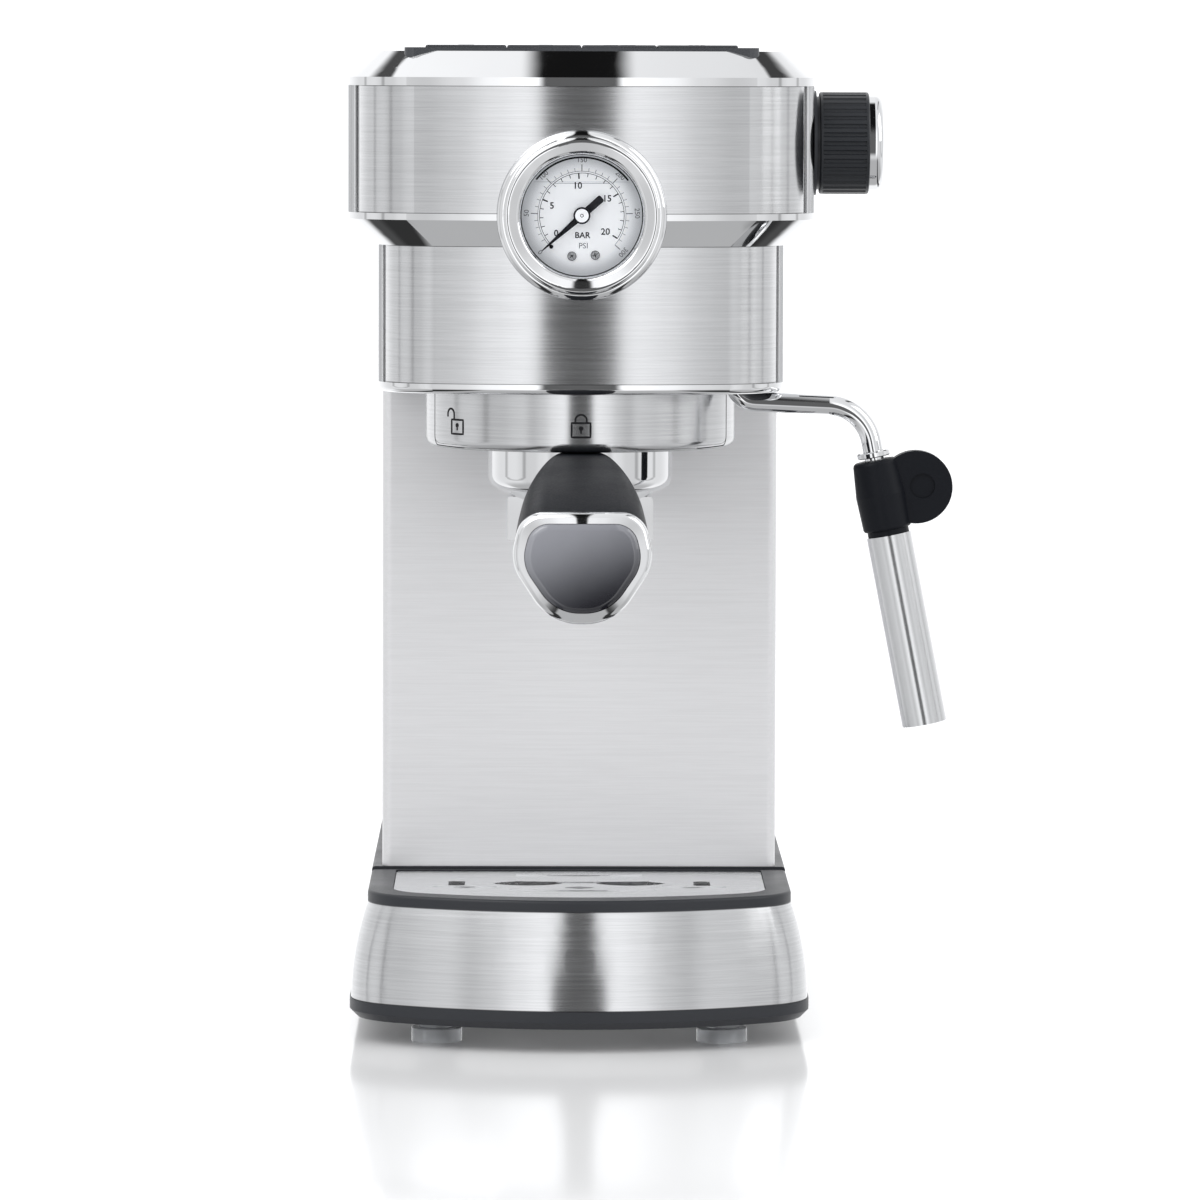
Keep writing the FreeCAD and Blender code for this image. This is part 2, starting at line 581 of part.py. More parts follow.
def head():
    def ring_plan(inset_half, front, back="body_back", corner="ring_corner", rear="6"):
        return plan(inset_half, front, back, "head_arc", corner, rear)

    floor = SubPart("head_floor")
    floor.add("XY", "floor_bottom", "trim_top",
              plan("column_half - trim_wall", "low_front + trim_wall", "frame_front", "head_arc", "low_corner"))
    floor.cut("XY", "floor_bottom", "trim_top", circle("0", "group_y", "heater_radius - 8"))
    floor.cut("XY", "floor_bottom", "trim_top", circle("wand_x", "wand_y", "tube_radius + 2"))

    trim = SubPart("bottom_trim")
    trim.add("XY", "trim_bottom", "trim_top",
             plan("column_half", "low_front", "column_front - 0.1", "head_arc", "ring_foot_corner"))
    trim.soften("trim_round", both(level("Z", "trim_bottom"),
                                   lambda bounds: bounds.YMax < num("column_front - 0.5")))
    trim.cut("XY", "trim_bottom", "trim_top",
             plan("column_half - trim_wall", "low_front + trim_wall", "column_front + 6", "head_arc", "low_corner"))

    hole = circle("0", "gauge_z", "boss_radius")
    middle = SubPart("mid_ring")
    middle.loft("XY", [("ring_low", ring_plan("column_half", "low_front", corner="ring_foot_corner")),
                       ("ring_lip", ring_plan("side_half", "top_front"))], ruled=True)
    middle.add("XY", "ring_lip", "ring_high", ring_plan("side_half", "top_front"))
    middle.cut("XY", "ring_low", "ring_high", ring_plan("ring_opening", "boss_back + 2", "body_back - 10",
                                                        "low_corner"))
    middle.cut("XZ", "boss_front", "case_back + 2", hole)

    for name, low, high, half, front, corner, seam in (
            ("lower_front_band", "trim_top", "ring_low", "low_half", "low_front", "low_corner", "low_seam"),
            ("upper_front_band", "ring_high", "band_top", "top_half", "top_front", "top_corner", "top_seam")):
        band = SubPart(name)
        band.add("XY", low, high, plan(half, front, seam + " + 30", "head_arc", corner))
        band.cut("XY", low, high, plan(half + " - skin_wall", front + " + skin_wall", seam + " + 26",
                                       "head_arc - skin_wall", corner + " - skin_wall"))
        band.cut("XY", low, high, box("-(%s) - 1" % half, seam, half + " + 1", seam + " + 31"))
        band.cut("XZ", "boss_front", "boss_back", hole)

    for name, low, high, outer in (("upper_side_left", "-side_half", "side_wall - side_half", "-side_half"),
                                   ("upper_side_right", "side_half - side_wall", "side_half", "side_half")):
        side = SubPart(name)
        side.add("YZ", low, high, box("top_seam", "ring_high", "body_back", "band_top"))
        side.soften("2.4", both(level("X", outer), level("Y", "top_seam")))
        if name == "upper_side_right":
            side.cut("YZ", low, high, circle("knob_y", "knob_z", "stem_radius + 2"))

    cap = SubPart("top_ring")
    cap.add("XY", "band_top", "cap_lip", ring_plan("side_half", "top_front"))
    cap.loft("XY", [("cap_lip", ring_plan("side_half", "top_front")),
                    ("cap_top", ring_plan("side_half - cap_inset", "cap_front", "body_back - cap_inset",
                                          "ring_corner - 6", "4"))], ruled=True)
    cap.cut("XY", "band_top", "cap_top", box("-cap_opening", "cap_hole_front", "cap_opening", "cap_hole_back", "3"))


def deck_and_buttons():
    deck = SubPart("top_deck")
    deck.add("XY", "cap_lip", "top_deck_z",
             box("-cap_opening", "cap_hole_front", "cap_opening", "warmer_front", "3"))
    deck.cut("XY", "cap_lip", "top_deck_z - 3",
             box("3 - cap_opening", "cap_hole_front + 3", "cap_opening - 3", "warmer_front - 3", "2"))
    reach = "button_outer + button_inner + 1.5 * button_gap + button_play"
    deck.cut("XY", "cap_lip", "top_deck_z",
             box("-(%s)" % reach, "button_front - button_play", reach, "button_back + button_play", "1"))
    deck.add("XY", "board_top", "top_deck_z - 3",
             *[box(x + " - 2", y + " - 2", x + " + 2", y + " + 2")
               for x in ("10.5 - cap_opening", "cap_opening - 10.5") for y in ("button_front - 3", "button_back + 3.5")])

    board = SubPart("switch_board")
    board.add("XY", "board_top - board_sheet", "board_top", box("6.5 - cap_opening", "button_front - 6",
                                                               "cap_opening - 6.5", "button_back + 6", "2"))

    warmer = SubPart("cup_warmer")
    warmer.add("XY", "warmer_top - 4", "warmer_top",
               box("-cap_opening", "warmer_front", "cap_opening", "cap_hole_back", "3"))
    row = warmer.cut("XY", "warmer_top - 4", "warmer_top",
                     *[box("%d" % x, "warmer_front + 14", "%d" % (x + 26), "warmer_front + 18", "1.9")
                       for x in (-42, -13, 16)])
    warmer.along(row, "Y_Axis", "warmer_slots", "96")

    inner_edge = "button_gap / 2"
    step = "button_gap / 2 + button_inner"
    spans = [("button_power", "-(%s) - button_gap - button_outer" % step, "-(%s) - button_gap" % step),
             ("button_one_cup", "-(%s)" % step, "-(%s)" % inner_edge),
             ("button_two_cups", inner_edge, step),
             ("button_steam", step + " + button_gap", step + " + button_gap + button_outer")]
    for name, left, right in spans:
        centre = "((%s) + (%s)) / 2" % (left, right)
        key = SubPart(name)
        key.add("XY", "button_base", "button_top", box(left, "button_front", right, "button_back", "0.8"))
        key.soften("0.6", level("Z", "button_top"))
        key.add("XY", "button_base - 3", "button_base",
                circle(centre, "(button_front + button_back) / 2", "2.5"))
        board.add("XY", "board_top", "board_top + 1.2",
                  circle(centre, "(button_front + button_back) / 2", "3"))


def gauge():
    axis = {"at": ("0", "gauge_z"), "axis": "H_Axis"}

    boss = SubPart("gauge_boss")
    boss.turn("YZ", "0", outline(("boss_front", "case_radius"), ("boss_back", "case_radius"),
                                 ("boss_back", "boss_radius"), ("boss_front", "boss_radius", "2.2")), **axis)

    case = SubPart("gauge_case")
    case.turn("YZ", "0", outline(("case_front", "case_radius - case_wall"), ("case_front", "case_radius"),
                                 ("case_back", "case_radius", "2"), ("case_back", "0"),
                                 ("case_back - case_wall", "0"),
                                 ("case_back - case_wall", "case_radius - case_wall", "1")), **axis)

    bezel = SubPart("gauge_bezel")
    bezel.turn("YZ", "0", outline(("case_front", "lens_radius"), ("case_front", "bezel_radius"),
                                  ("bezel_front", "bezel_radius", "1.8"), ("bezel_front", "dial_radius", "1.2"),
                                  ("lens_front", "dial_radius"), ("lens_front", "lens_radius")), **axis)

    lens = SubPart("gauge_lens")
    lens.add("XZ", "lens_front", "lens_back", circle("0", "gauge_z", "lens_radius"))

    dial = SubPart("gauge_dial")
    dial.add("XZ", "dial_face", "dial_face + dial_sheet", circle("0", "gauge_z", "case_radius - case_wall"))
    dial.cut("XZ", "dial_face", "dial_face + dial_sheet", circle("0", "gauge_z", "1"))

    works = SubPart("gauge_movement")
    works.add("XZ", "dial_face + dial_sheet", "case_back - case_wall", circle("0", "gauge_z", "11"))
    works.cut("XZ", "dial_face + dial_sheet", "case_back - 8", circle("0", "gauge_z", "1"))

    needle = SubPart("gauge_needle")
    where = {"at": ("0", "gauge_z"), "spin": "needle_angle"}
    blade = outline(("-needle_tail", "-1.2", "0.6"), ("0", "-1.1"), ("needle_tip", "-0.15"),
                    ("needle_tip", "0.15"), ("0", "1.1"), ("-needle_tail", "1.2", "0.6"))
    needle.add("XZ", "needle_front", "needle_front + needle_sheet", blade, **where)
    needle.add("XZ", "needle_front - 1", "needle_front + 1", circle("0", "gauge_z", "hub_radius"))
    needle.add("XZ", "needle_front + 1", "dial_face + 4", circle("0", "gauge_z", "0.95"))


def steam_control():
    axis = {"at": ("0", "knob_z"), "axis": "H_Axis"}
    collar = SubPart("knob_collar")
    collar.turn("XZ", "knob_y", outline(("side_half", "stem_radius + 2"), ("collar_end", "stem_radius + 2"),
                                        ("collar_end", "collar_radius"), ("side_half", "collar_radius")), **axis)
    knob = SubPart("steam_knob")
    knob.turn("XZ", "knob_y", outline(
        ("stem_start", "0"), ("stem_start", "stem_radius - 0.05"), ("collar_end + 0.05", "stem_radius - 0.05"),
        ("collar_end + 0.05", "groove_radius"), ("groove_end", "groove_radius"), ("groove_end", "knob_radius", "0.6"),
        ("knob_end", "knob_radius", "0.6"), ("knob_end", "0")), **axis)
    rib = knob.cut("YZ", "groove_end + 1", "knob_end - 1", circle("0", "knob_radius + 0.25", "rib_cut"),
                   at=("knob_y", "knob_z"))
    middle = knob.sketch("YZ", "groove_end", circle("0", "0", "1"), at=("knob_y", "knob_z"))
    knob.around(rib, (middle, ["N_Axis"]), int(num("rib_count")))

    cap = SubPart("steam_knob_cap")
    cap.turn("XZ", "knob_y", outline(("knob_end", "0"), ("knob_cap_end", "0"),
                                     ("knob_cap_end", "knob_cap_radius", "2.6"), ("knob_end", "knob_cap_radius")),
             **axis)

    valve = SubPart("steam_valve")
    valve.add("YZ", "stem_start - 12", "side_half - side_wall",
              box("knob_y - 9", "knob_z - 9", "knob_y + 9", "knob_z + 9", "2"))
    valve.cut("YZ", "stem_start", "side_half", circle("knob_y", "knob_z", "stem_radius"))


def steam_wand():
    nut = SubPart("wand_nut")
    nut.add("XY", "trim_top", "wand_top - 2", circle("wand_x", "wand_y", "nut_radius"))
    nut.cut("XY", "trim_top", "wand_top - 2", circle("wand_x", "wand_y", "tube_radius + 0.05"))

    tube = SubPart("wand_tube")
    course = outline(("wand_x", "wand_top"), ("wand_x", "wand_level", "bend_small"),
                     ("sleeve_x - (wand_drop - sleeve_z) * tan(wand_tilt)", "wand_drop", "bend_large"),
                     ("sleeve_x + 4 * tan(wand_tilt)", "sleeve_z - 4"), closed=False)
    for kind, radius in (("AdditivePipe", "tube_radius"), ("SubtractivePipe", "tube_bore")):
        spine = tube.sketch("XZ", "wand_y", course)
        tube.pipe(spine, tube.sketch("XY", "wand_top", circle("wand_x", "wand_y", radius)), kind=kind)

    tilted = {"at": ("sleeve_x", "sleeve_z"), "spin": "wand_tilt"}
    grip = SubPart("wand_grip")
    grip.turn("XZ", "wand_y", outline(("0", "grip_low"), ("grip_radius", "grip_low", "1"),
                                      ("grip_radius + 0.4", "(grip_low + grip_high) / 2"),
                                      ("grip_radius - 0.6", "grip_high", "1.5"), ("0", "grip_high")), **tilted)
    grip.add("XZ", "wand_y - tab_half", "wand_y + tab_half", circle("tab_side", "tab_up", "tab_radius"), **tilted)
    grip.cut("XZ", "wand_y - tab_half", "wand_y - tab_half + 0.8",
             circle("tab_side + 2", "tab_up", "dimple_radius"), **tilted)
    grip.turn("XZ", "wand_y", outline(("0", "0"), ("tube_radius", "0"), ("tube_radius", "grip_high + 4"),
                                      ("0", "grip_high + 4")), kind="Groove", **tilted)

    nozzle = SubPart("froth_nozzle")
    nozzle.turn("XZ", "wand_y", outline(("tube_radius", "-5"), ("tube_radius", "grip_low"),
                                        ("nozzle_radius + 0.4", "grip_low"), ("nozzle_radius + 0.4", "0"),
                                        ("nozzle_radius", "0"), ("nozzle_radius", "-16", "1"), ("2.4", "-26"),
                                        ("0.8", "-26"), ("0.8", "-5")), **tilted)

    sleeve = SubPart("froth_sleeve")
    sleeve.turn("XZ", "wand_y", outline(("sleeve_radius - sleeve_wall", "-0.05"), ("sleeve_radius", "-0.05"),
                                        ("sleeve_radius", "-sleeve_length"),
                                        ("sleeve_radius - sleeve_wall", "-sleeve_length")), **tilted)


def brew_group():
    rear = box("-60", "group_cut", "60", "group_cut + 30")
    skirt = SubPart("group_skirt")
    skirt.add("XY", "skirt_bottom", "floor_bottom", circle(*GROUP, "skirt_radius"))
    skirt.soften("skirt_round", level("Z", "skirt_bottom"))
    skirt.cut("XY", "skirt_bottom + skirt_wall", "floor_bottom", circle(*GROUP, "skirt_radius - skirt_wall"))
    skirt.cut("XY", "skirt_bottom", "floor_bottom", circle(*GROUP, "cavity_radius"))
    skirt.cut("XY", "skirt_bottom", "floor_bottom", rear)

    ring = SubPart("group_ring")
    ring.add("XY", "ledge_bottom", "floor_bottom", circle(*GROUP, "group_radius"))
    ring.cut("XY", "ledge_bottom", "ledge_top", circle(*GROUP, "ledge_hole"))
    ring.cut("XY", "ledge_top", "seal_bottom", circle(*GROUP, "cavity_radius"))
    ring.cut("XY", "seal_bottom", "seal_top", circle(*GROUP, "seal_radius"))
    ring.cut("XY", "seal_top", "floor_bottom", circle(*GROUP, "6"))
    ring.cut("XY", "ledge_bottom", "floor_bottom", rear)
    gate = ring.cut("XY", "ledge_bottom", "ledge_top",
                    box("ledge_hole - 3", "-lug_half - turn_gap", "lug_reach + 0.5", "lug_half + turn_gap"),
                    at=GROUP, spin="-unlock_angle - 30")
    middle = ring.sketch("XY", "ledge_top", circle("0", "0", "1"), at=GROUP)
    ring.around(gate, (middle, ["N_Axis"]), 3)

    seal = SubPart("group_gasket")
    seal.add("XY", "seal_bottom", "seal_top", circle(*GROUP, "seal_radius"), circle(*GROUP, "seal_bore"))

    screen = SubPart("shower_screen")
    screen.add("XY", "screen_bottom", "seal_top", circle(*GROUP, "screen_radius"))
    screen.cut("XY", "screen_bottom + 1", "seal_top", circle(*GROUP, "screen_radius - 1"))
    screen.add("XY", "screen_bottom + 1", "seal_top", circle(*GROUP, "7"), circle(*GROUP, "3"))
    for radius, count in ((8, 10), (13, 16), (18, 22)):
        hole = screen.cut("XY", "screen_bottom", "screen_bottom + 1", circle("%d" % radius, "0", "0.9"), at=GROUP)
        centre = screen.sketch("XY", "screen_bottom", circle("0", "0", "1"), at=GROUP)
        screen.around(hole, (centre, ["N_Axis"]), count)

    heater = SubPart("thermoblock")
    heater.add("XY", "trim_top", "heater_top", circle(*GROUP, "heater_radius"))
    heater.soften("2", level("Z", "heater_top"))
    heater.add("XY", "floor_bottom", "trim_top", circle(*GROUP, "heater_radius - 8.1"))
    heater.add("XY", "heater_top", "heater_top + 6", circle("-18", "group_y", "4"), circle("18", "group_y", "4"))


def portafilter():
    profile = [("floor_radius", "dome_floor"), ("dome_radius", "dome_z"), ("bowl_radius", "bowl_low")]
    bowl = SubPart("portafilter_bowl")
    bowl.turn("YZ", "0", outline(("0", "dome_floor"), profile[0], profile[1] + ("30",), profile[2] + ("5",),
                                 ("bowl_radius", "bowl_top"), ("bowl_bore", "bowl_top"),
                                 ("bowl_bore", "bowl_floor + 1.6", "2"), ("8", "bowl_floor - 2.6"),
                                 ("0", "bowl_floor - 2.6")), at=("group_y", "0"))
    bowl.cut("XY", "dome_floor", "bowl_floor", circle(*GROUP, "3"))
    lug = bowl.add("XY", "lug_bottom", "lug_top",
                   box("bowl_bore + 0.5", "-lug_half", "lug_reach", "lug_half"), at=GROUP, spin="-30")
    middle = bowl.sketch("XY", "lug_top", circle("0", "0", "1"), at=GROUP)
    bowl.around(lug, (middle, ["N_Axis"]), 3)

    basket = SubPart("filter_basket")
    basket.turn("YZ", "0", outline(("0", "basket_floor"), ("basket_radius + basket_wall", "basket_floor"),
                                   ("basket_radius + basket_wall", "bowl_top"), ("bowl_radius - 0.3", "bowl_top"),
                                   ("bowl_radius - 0.3", "seal_bottom"), ("basket_radius", "seal_bottom"),
                                   ("basket_radius", "basket_floor + basket_wall"),
                                   ("0", "basket_floor + basket_wall")), at=("group_y", "0"))
    for radius, count in ((6, 8), (12, 16), (18, 24)):
        hole = basket.cut("XY", "basket_floor", "basket_floor + basket_wall", circle("%d" % radius, "0", "0.5"),
                          at=GROUP)
        centre = basket.sketch("XY", "basket_floor", circle("0", "0", "1"), at=GROUP)
        basket.around(hole, (centre, ["N_Axis"]), count)

    spout = SubPart("portafilter_spout")
    spout.add("XZ", "group_y - spout_depth", "group_y + spout_depth",
              outline(("-spout_half", "spout_bottom"), ("-spout_half + spout_leg", "spout_bottom"),
                      ("-spout_half + spout_leg", "spout_arch", "3"), ("spout_half - spout_leg", "spout_arch", "3"),
                      ("spout_half - spout_leg", "spout_bottom"), ("spout_half", "spout_bottom"),
                      ("spout_half", "spout_top", "1"), ("-spout_half", "spout_top", "1")))
    spout.turn("YZ", "0", outline(("0", "dome_floor"), profile[0], profile[1] + ("30",), profile[2] + ("5",),
                                  ("bowl_radius", "bowl_top"), ("0", "bowl_top")), kind="Groove",
               at=("group_y", "0"))
    legs = [circle(sign + "(spout_half - spout_leg / 2)", "group_y", "spout_bore") for sign in ("-", "")]
    spout.cut("XY", "spout_bottom", "spout_bottom + 8", *legs)
    spout.cut("YZ", "-spout_half + spout_leg / 2", "spout_half - spout_leg / 2",
              circle("group_y", "spout_bottom + 7.6", "1.8"))
    spout.cut("XY", "spout_bottom + 7.6", "dome_floor + 0.1", circle(*GROUP, "2.5"))

    def shield(half, top, base):
        """Handle cross-section: flat-arched top, widest above the middle, rounded below."""
        waist = "(%s) + ((%s) - (%s)) * shield_waist" % (base, top, base)
        right = [("(%s) * shield_low" % half, base, "(%s) * 0.8" % half),
                 ("(%s) * shield_wide" % half, waist, "(%s) * 0.65" % half),
                 ("(%s) * shield_high" % half, top, "(%s) * 0.4" % half)]
        return outline(*right, *[("-(%s)" % x, y, radius) for x, y, radius in reversed(right)])

    handle = SubPart("portafilter_handle")
    stations = [("handle_root_y", "7.5", "bowl_low + 11.2", "bowl_low - 1.4"),
                ("10", "11", "bowl_low + 12", "bowl_low - 4"),
                ("-20", "15.5", "bowl_low + 9.6", "bowl_low - 12"),
                ("-50", "handle_half - 1.8", "bowl_low + 5.8", "bowl_low - 22.5"),
                ("handle_end_y", "handle_half - 0.4", "handle_top - 0.4", "handle_base + 0.4")]
    handle.loft("XZ", [(depth, shield(half, top, base)) for depth, half, top, base in stations])
    handle.cut("XY", "dome_z", "bowl_top", circle(*GROUP, "bowl_radius"))

    inner = shield("handle_half - handle_band", "handle_top - handle_band", "handle_base + handle_band")
    ring = SubPart("handle_ring")
    ring.add("XZ", "handle_tip_y", "handle_end_y", shield("handle_half", "handle_top", "handle_base"))
    ring.soften("1.6", level("Y", "handle_tip_y"))
    ring.cut("XZ", "handle_tip_y", "handle_end_y", inner)

    insert = SubPart("handle_cap")
    insert.add("XZ", "cap_tip_y", "handle_end_y", inner)
    insert.soften("2", level("Y", "cap_tip_y"))


def tank_and_pump():
    middle = "(tank_front + tank_back) / 2"
    tank = SubPart("water_tank")
    tank.add("XY", "tank_bottom", "tank_top",
             box("-tank_half", "tank_front", "tank_half", "tank_back", "tank_corner"))
    tank.cut("XY", "tank_bottom + tank_wall", "tank_top",
             box("tank_wall - tank_half", "tank_front + tank_wall", "tank_half - tank_wall",
                 "tank_back - tank_wall", "tank_corner - tank_wall"))
    tank.add("XY", "tank_bottom - valve_drop", "tank_bottom", circle("0", middle, "valve_radius"))
    tank.cut("XY", "tank_bottom - valve_drop", "tank_bottom + tank_wall", circle("0", middle, "2.5"))

    lid = SubPart("tank_lid")
    lid.add("XY", "tank_top", "lid_top",
            box("-tank_half", "tank_front", "tank_half", "tank_back", "tank_corner"))
    lid.soften("1", level("Z", "lid_top"))

    pump = SubPart("pump")
    pump.turn("YZ", "pump_x", outline(("0", "deck_top"), ("9", "deck_top"), ("9", "deck_top + 3"), ("5", "deck_top + 3"),
                                      ("5", "pump_low"), ("pump_radius", "pump_low", "3"),
                                      ("pump_radius", "pump_high", "3"), ("6", "pump_high"),
                                      ("6", "pump_high + 10"), ("0", "pump_high + 10")), at=("pump_y", "0"))

    hoses = SubPart("hoses")
    courses = [("YZ", "pump_x", [("pump_y", "pump_high + 10"), ("pump_y", "pump_high + 26", "10"),
                                 ("body_back - 30", "pump_high + 26")])]
    for plane, offset, course in courses:
        spine = hoses.sketch(plane, offset, outline(*course, closed=False))
        hoses.pipe(spine, hoses.sketch("XY", "pump_high + 10", circle("pump_x", "pump_y", "hose_radius")))


for build in (feet_and_base, tray_and_base, column, head, deck_and_buttons, gauge, steam_control, steam_wand,
              brew_group, portafilter, tank_and_pump):
    build()

for item in SUBPARTS:
    bind(item.body, "Placement.Base.x", "-origin_x")
    bind(item.body, "Placement.Base.y", "-origin_y")
doc.recompute()

troubles = ["%s: %s" % (item.Label, item.State) for item in doc.Objects
            if "Invalid" in item.State or "Error" in item.State]
troubles += ["%s: shape is not valid" % item.label for item in SUBPARTS
             if item.body.Shape.isNull() or not item.body.Shape.isValid() or not item.body.Shape.Solids]
if troubles:
    raise RuntimeError("; ".join(troubles))

os.makedirs("parts", exist_ok=True)
for item in SUBPARTS:
    item.body.Shape.exportStep(os.path.join("parts", item.label + ".step"))
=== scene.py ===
import json
import math

import bpy
from mathutils import Matrix, Vector


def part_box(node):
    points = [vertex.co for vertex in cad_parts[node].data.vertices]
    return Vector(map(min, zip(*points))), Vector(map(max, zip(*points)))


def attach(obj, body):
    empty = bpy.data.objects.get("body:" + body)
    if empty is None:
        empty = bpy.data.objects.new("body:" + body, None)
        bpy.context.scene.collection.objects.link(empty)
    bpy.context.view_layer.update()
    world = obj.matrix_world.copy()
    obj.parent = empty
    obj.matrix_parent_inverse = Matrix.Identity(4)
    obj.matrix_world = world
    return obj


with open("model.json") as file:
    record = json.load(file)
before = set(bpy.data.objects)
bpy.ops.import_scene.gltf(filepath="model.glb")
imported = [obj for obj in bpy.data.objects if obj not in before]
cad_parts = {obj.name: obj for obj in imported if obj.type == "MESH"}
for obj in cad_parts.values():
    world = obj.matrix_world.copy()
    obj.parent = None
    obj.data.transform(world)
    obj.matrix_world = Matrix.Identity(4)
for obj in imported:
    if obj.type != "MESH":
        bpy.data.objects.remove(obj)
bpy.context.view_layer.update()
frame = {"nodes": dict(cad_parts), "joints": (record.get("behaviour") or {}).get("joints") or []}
nodes = frame["nodes"]

MM = 0.001
# The machine's own lengths are in mm from the front of its base; SHIFT brings them into the frame.
SHIFT = Vector((-0.0216, -0.0989, 0.0))


def place(x, y, z):
    return Vector((x, y, z)) * MM + SHIFT


def box_of(node):
    """Low and high corner of a CAD node."""
    low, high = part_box(node)
    return Vector(low), Vector(high)


def box_in_mm(node):
    return tuple(corner * 1000 for corner in box_of(node))


# ---- materials ---------------------------------------------------------------------------------------

class Graph:
    """Small helper for building a node tree. A value is a number, a tuple or another node's output."""

    def __init__(self, tree):
        self.nodes = tree.nodes
        self.links = tree.links

    def add(self, kind, **props):
        node = self.nodes.new(kind)
        for key, value in props.items():
            if key in node.inputs:
                node.inputs[key].default_value = value
            else:
                setattr(node, key, value)
        return node

    def link(self, source, target):
        self.links.new(source, target)

    def put(self, value, target):
        if isinstance(value, bpy.types.NodeSocket):
            self.link(value, target)
        else:
            target.default_value = value

    def math(self, operation, a, b=0.0, clamp=False):
        node = self.add("ShaderNodeMath", operation=operation, use_clamp=clamp)
        self.put(a, node.inputs[0])
        self.put(b, node.inputs[1])
        return node.outputs[0]

    def vector(self, operation, a, b=(0, 0, 0)):
        node = self.add("ShaderNodeVectorMath", operation=operation)
        self.put(a, node.inputs[0])
        self.put(b, node.inputs[1])
        return node.outputs["Value" if operation == "LENGTH" else "Vector"]

    def mix(self, fac, a, b, kind="RGBA", blend="MIX"):
        """Blend of two colours, or of two numbers with kind FLOAT."""
        node = self.add("ShaderNodeMix", data_type=kind, blend_type=blend)
        first, result = (6, 2) if kind == "RGBA" else (2, 0)
        for i, value in ((0, fac), (first, a), (first + 1, b)):
            self.put(value, node.inputs[i])
        return node.outputs[result]

    def fade(self, a, b, share):
        """Goes from a to b as the share goes from 0 to 1."""
        rest = self.math("SUBTRACT", 1.0, share)
        return self.math("ADD", self.math("MULTIPLY", a, rest), self.math("MULTIPLY", b, share))

    def ramp(self, source, low, high, to_low, to_high, smooth=True):
        node = self.add("ShaderNodeMapRange", interpolation_type="SMOOTHSTEP" if smooth else "LINEAR")
        for name, value in (("Value", source), ("From Min", low), ("From Max", high), ("To Min", to_low),
                            ("To Max", to_high)):
            self.put(value, node.inputs[name])
        return node.outputs[0]

    def noise(self, where, scale, stretch=(1, 1, 1), detail=2.0, rough=0.5):
        mapping = self.add("ShaderNodeMapping", Scale=stretch)
        self.link(where, mapping.inputs["Vector"])
        node = self.add("ShaderNodeTexNoise", Scale=scale, Detail=detail, Roughness=rough)
        self.link(mapping.outputs[0], node.inputs["Vector"])
        return node.outputs["Fac"]


def new_material(name):
    material = bpy.data.materials.new(name)
    material.use_nodes = True
    graph = Graph(material.node_tree)
    shader = graph.nodes["Principled BSDF"]
    where = graph.add("ShaderNodeTexCoord").outputs["Object"]
    return material, graph, shader, where


def scaled(colour, by):
    return tuple(c * by for c in colour)


def tinted(graph, fac, dark, light, target):
    graph.link(graph.mix(fac, (*dark, 1), (*light, 1)), target)


def bumped(graph, shader, height, strength, distance):
    bump = graph.add("ShaderNodeBump", Strength=strength, Distance=distance)
    graph.link(height, bump.inputs["Height"])
    graph.link(bump.outputs["Normal"], shader.inputs["Normal"])


def painted_seam_shade(graph, where, colour, low, high):
    """Painted shade: darken a colour where the sheet meets the pieces above and below it, as a contact shadow
    would.
    """
    seam, darkest = 0.4 * MM, 0.22
    split = graph.add("ShaderNodeSeparateXYZ")
    graph.link(where, split.inputs[0])
    height = split.outputs[2]
    above = graph.ramp(height, low, low + seam, 0.0, 1.0)
    below = graph.ramp(height, high - seam, high, 1.0, 0.0)
    tone = graph.ramp(graph.math("MULTIPLY", above, below), 0.0, 1.0, darkest, 1.0)
    return graph.mix(1.0, colour, tone, blend="MULTIPLY")


# Scale of the scratches along X, Y and Z: they are long where it is small.
SCRATCHES = {"x": (0.012, 1, 1), "round": (0.012, 0.012, 1), "z": (1, 1, 0.012)}


def brushed(name, along, colour=(0.66, 0.665, 0.675), rough=(0.17, 0.23), aniso=0.8, grain=1.0, turn=0.25,
            seam=None):
    """Brushed sheet: long fine scratches run along X ('x'), round the machine ('round') or along Z ('z').

    seam gives the heights of the lower and upper edge of a sheet that gets painted shade there.
    """
    material, graph, shader, where = new_material(name)
    fine = graph.noise(where, 5600, SCRATCHES[along], 2, 0.6)
    broad = graph.noise(where, 1500, SCRATCHES[along], 3, 0.6)
    patch = graph.noise(where, 16)
    streak = graph.fade(fine, broad, 0.5)
    contrast = 0.05 * grain
    tone = graph.mix(graph.ramp(streak, 0.38, 0.62, 0.0, 1.0), (*scaled(colour, 1 - contrast), 1),
                     (*scaled(colour, 1 + contrast), 1))
    # painted shade: the colour darkens towards the sheet's lower and upper edges
    if seam:
        tone = painted_seam_shade(graph, where, tone, *seam)
    graph.link(tone, shader.inputs["Base Color"])
    worn = graph.fade(streak, patch, 0.5)
    graph.link(graph.ramp(worn, 0.35, 0.65, *rough), shader.inputs["Roughness"])
    bumped(graph, shader, streak, 0.035 * grain, 0.04 * MM)
    shader.inputs["Metallic"].default_value = 1.0
    shader.inputs["Anisotropic"].default_value = aniso
    if along != "z":
        # level scratches smear reflections up and down at a quarter turn
        tangent = graph.add("ShaderNodeTangent", direction_type="RADIAL", axis="Z")
        graph.link(tangent.outputs[0], shader.inputs["Tangent"])
        shader.inputs["Anisotropic Rotation"].default_value = turn
    return material


def polished(name, colour=(0.86, 0.865, 0.875), rough=(0.035, 0.085)):
    material, graph, shader, where = new_material(name)
    haze = graph.noise(where, 60, detail=3)
    specks = graph.noise(where, 2400)
    tinted(graph, haze, scaled(colour, 0.965), colour, shader.inputs["Base Color"])
    graph.link(graph.ramp(graph.fade(haze, specks, 0.4), 0.3, 0.7, *rough), shader.inputs["Roughness"])
    shader.inputs["Metallic"].default_value = 1.0
    return material


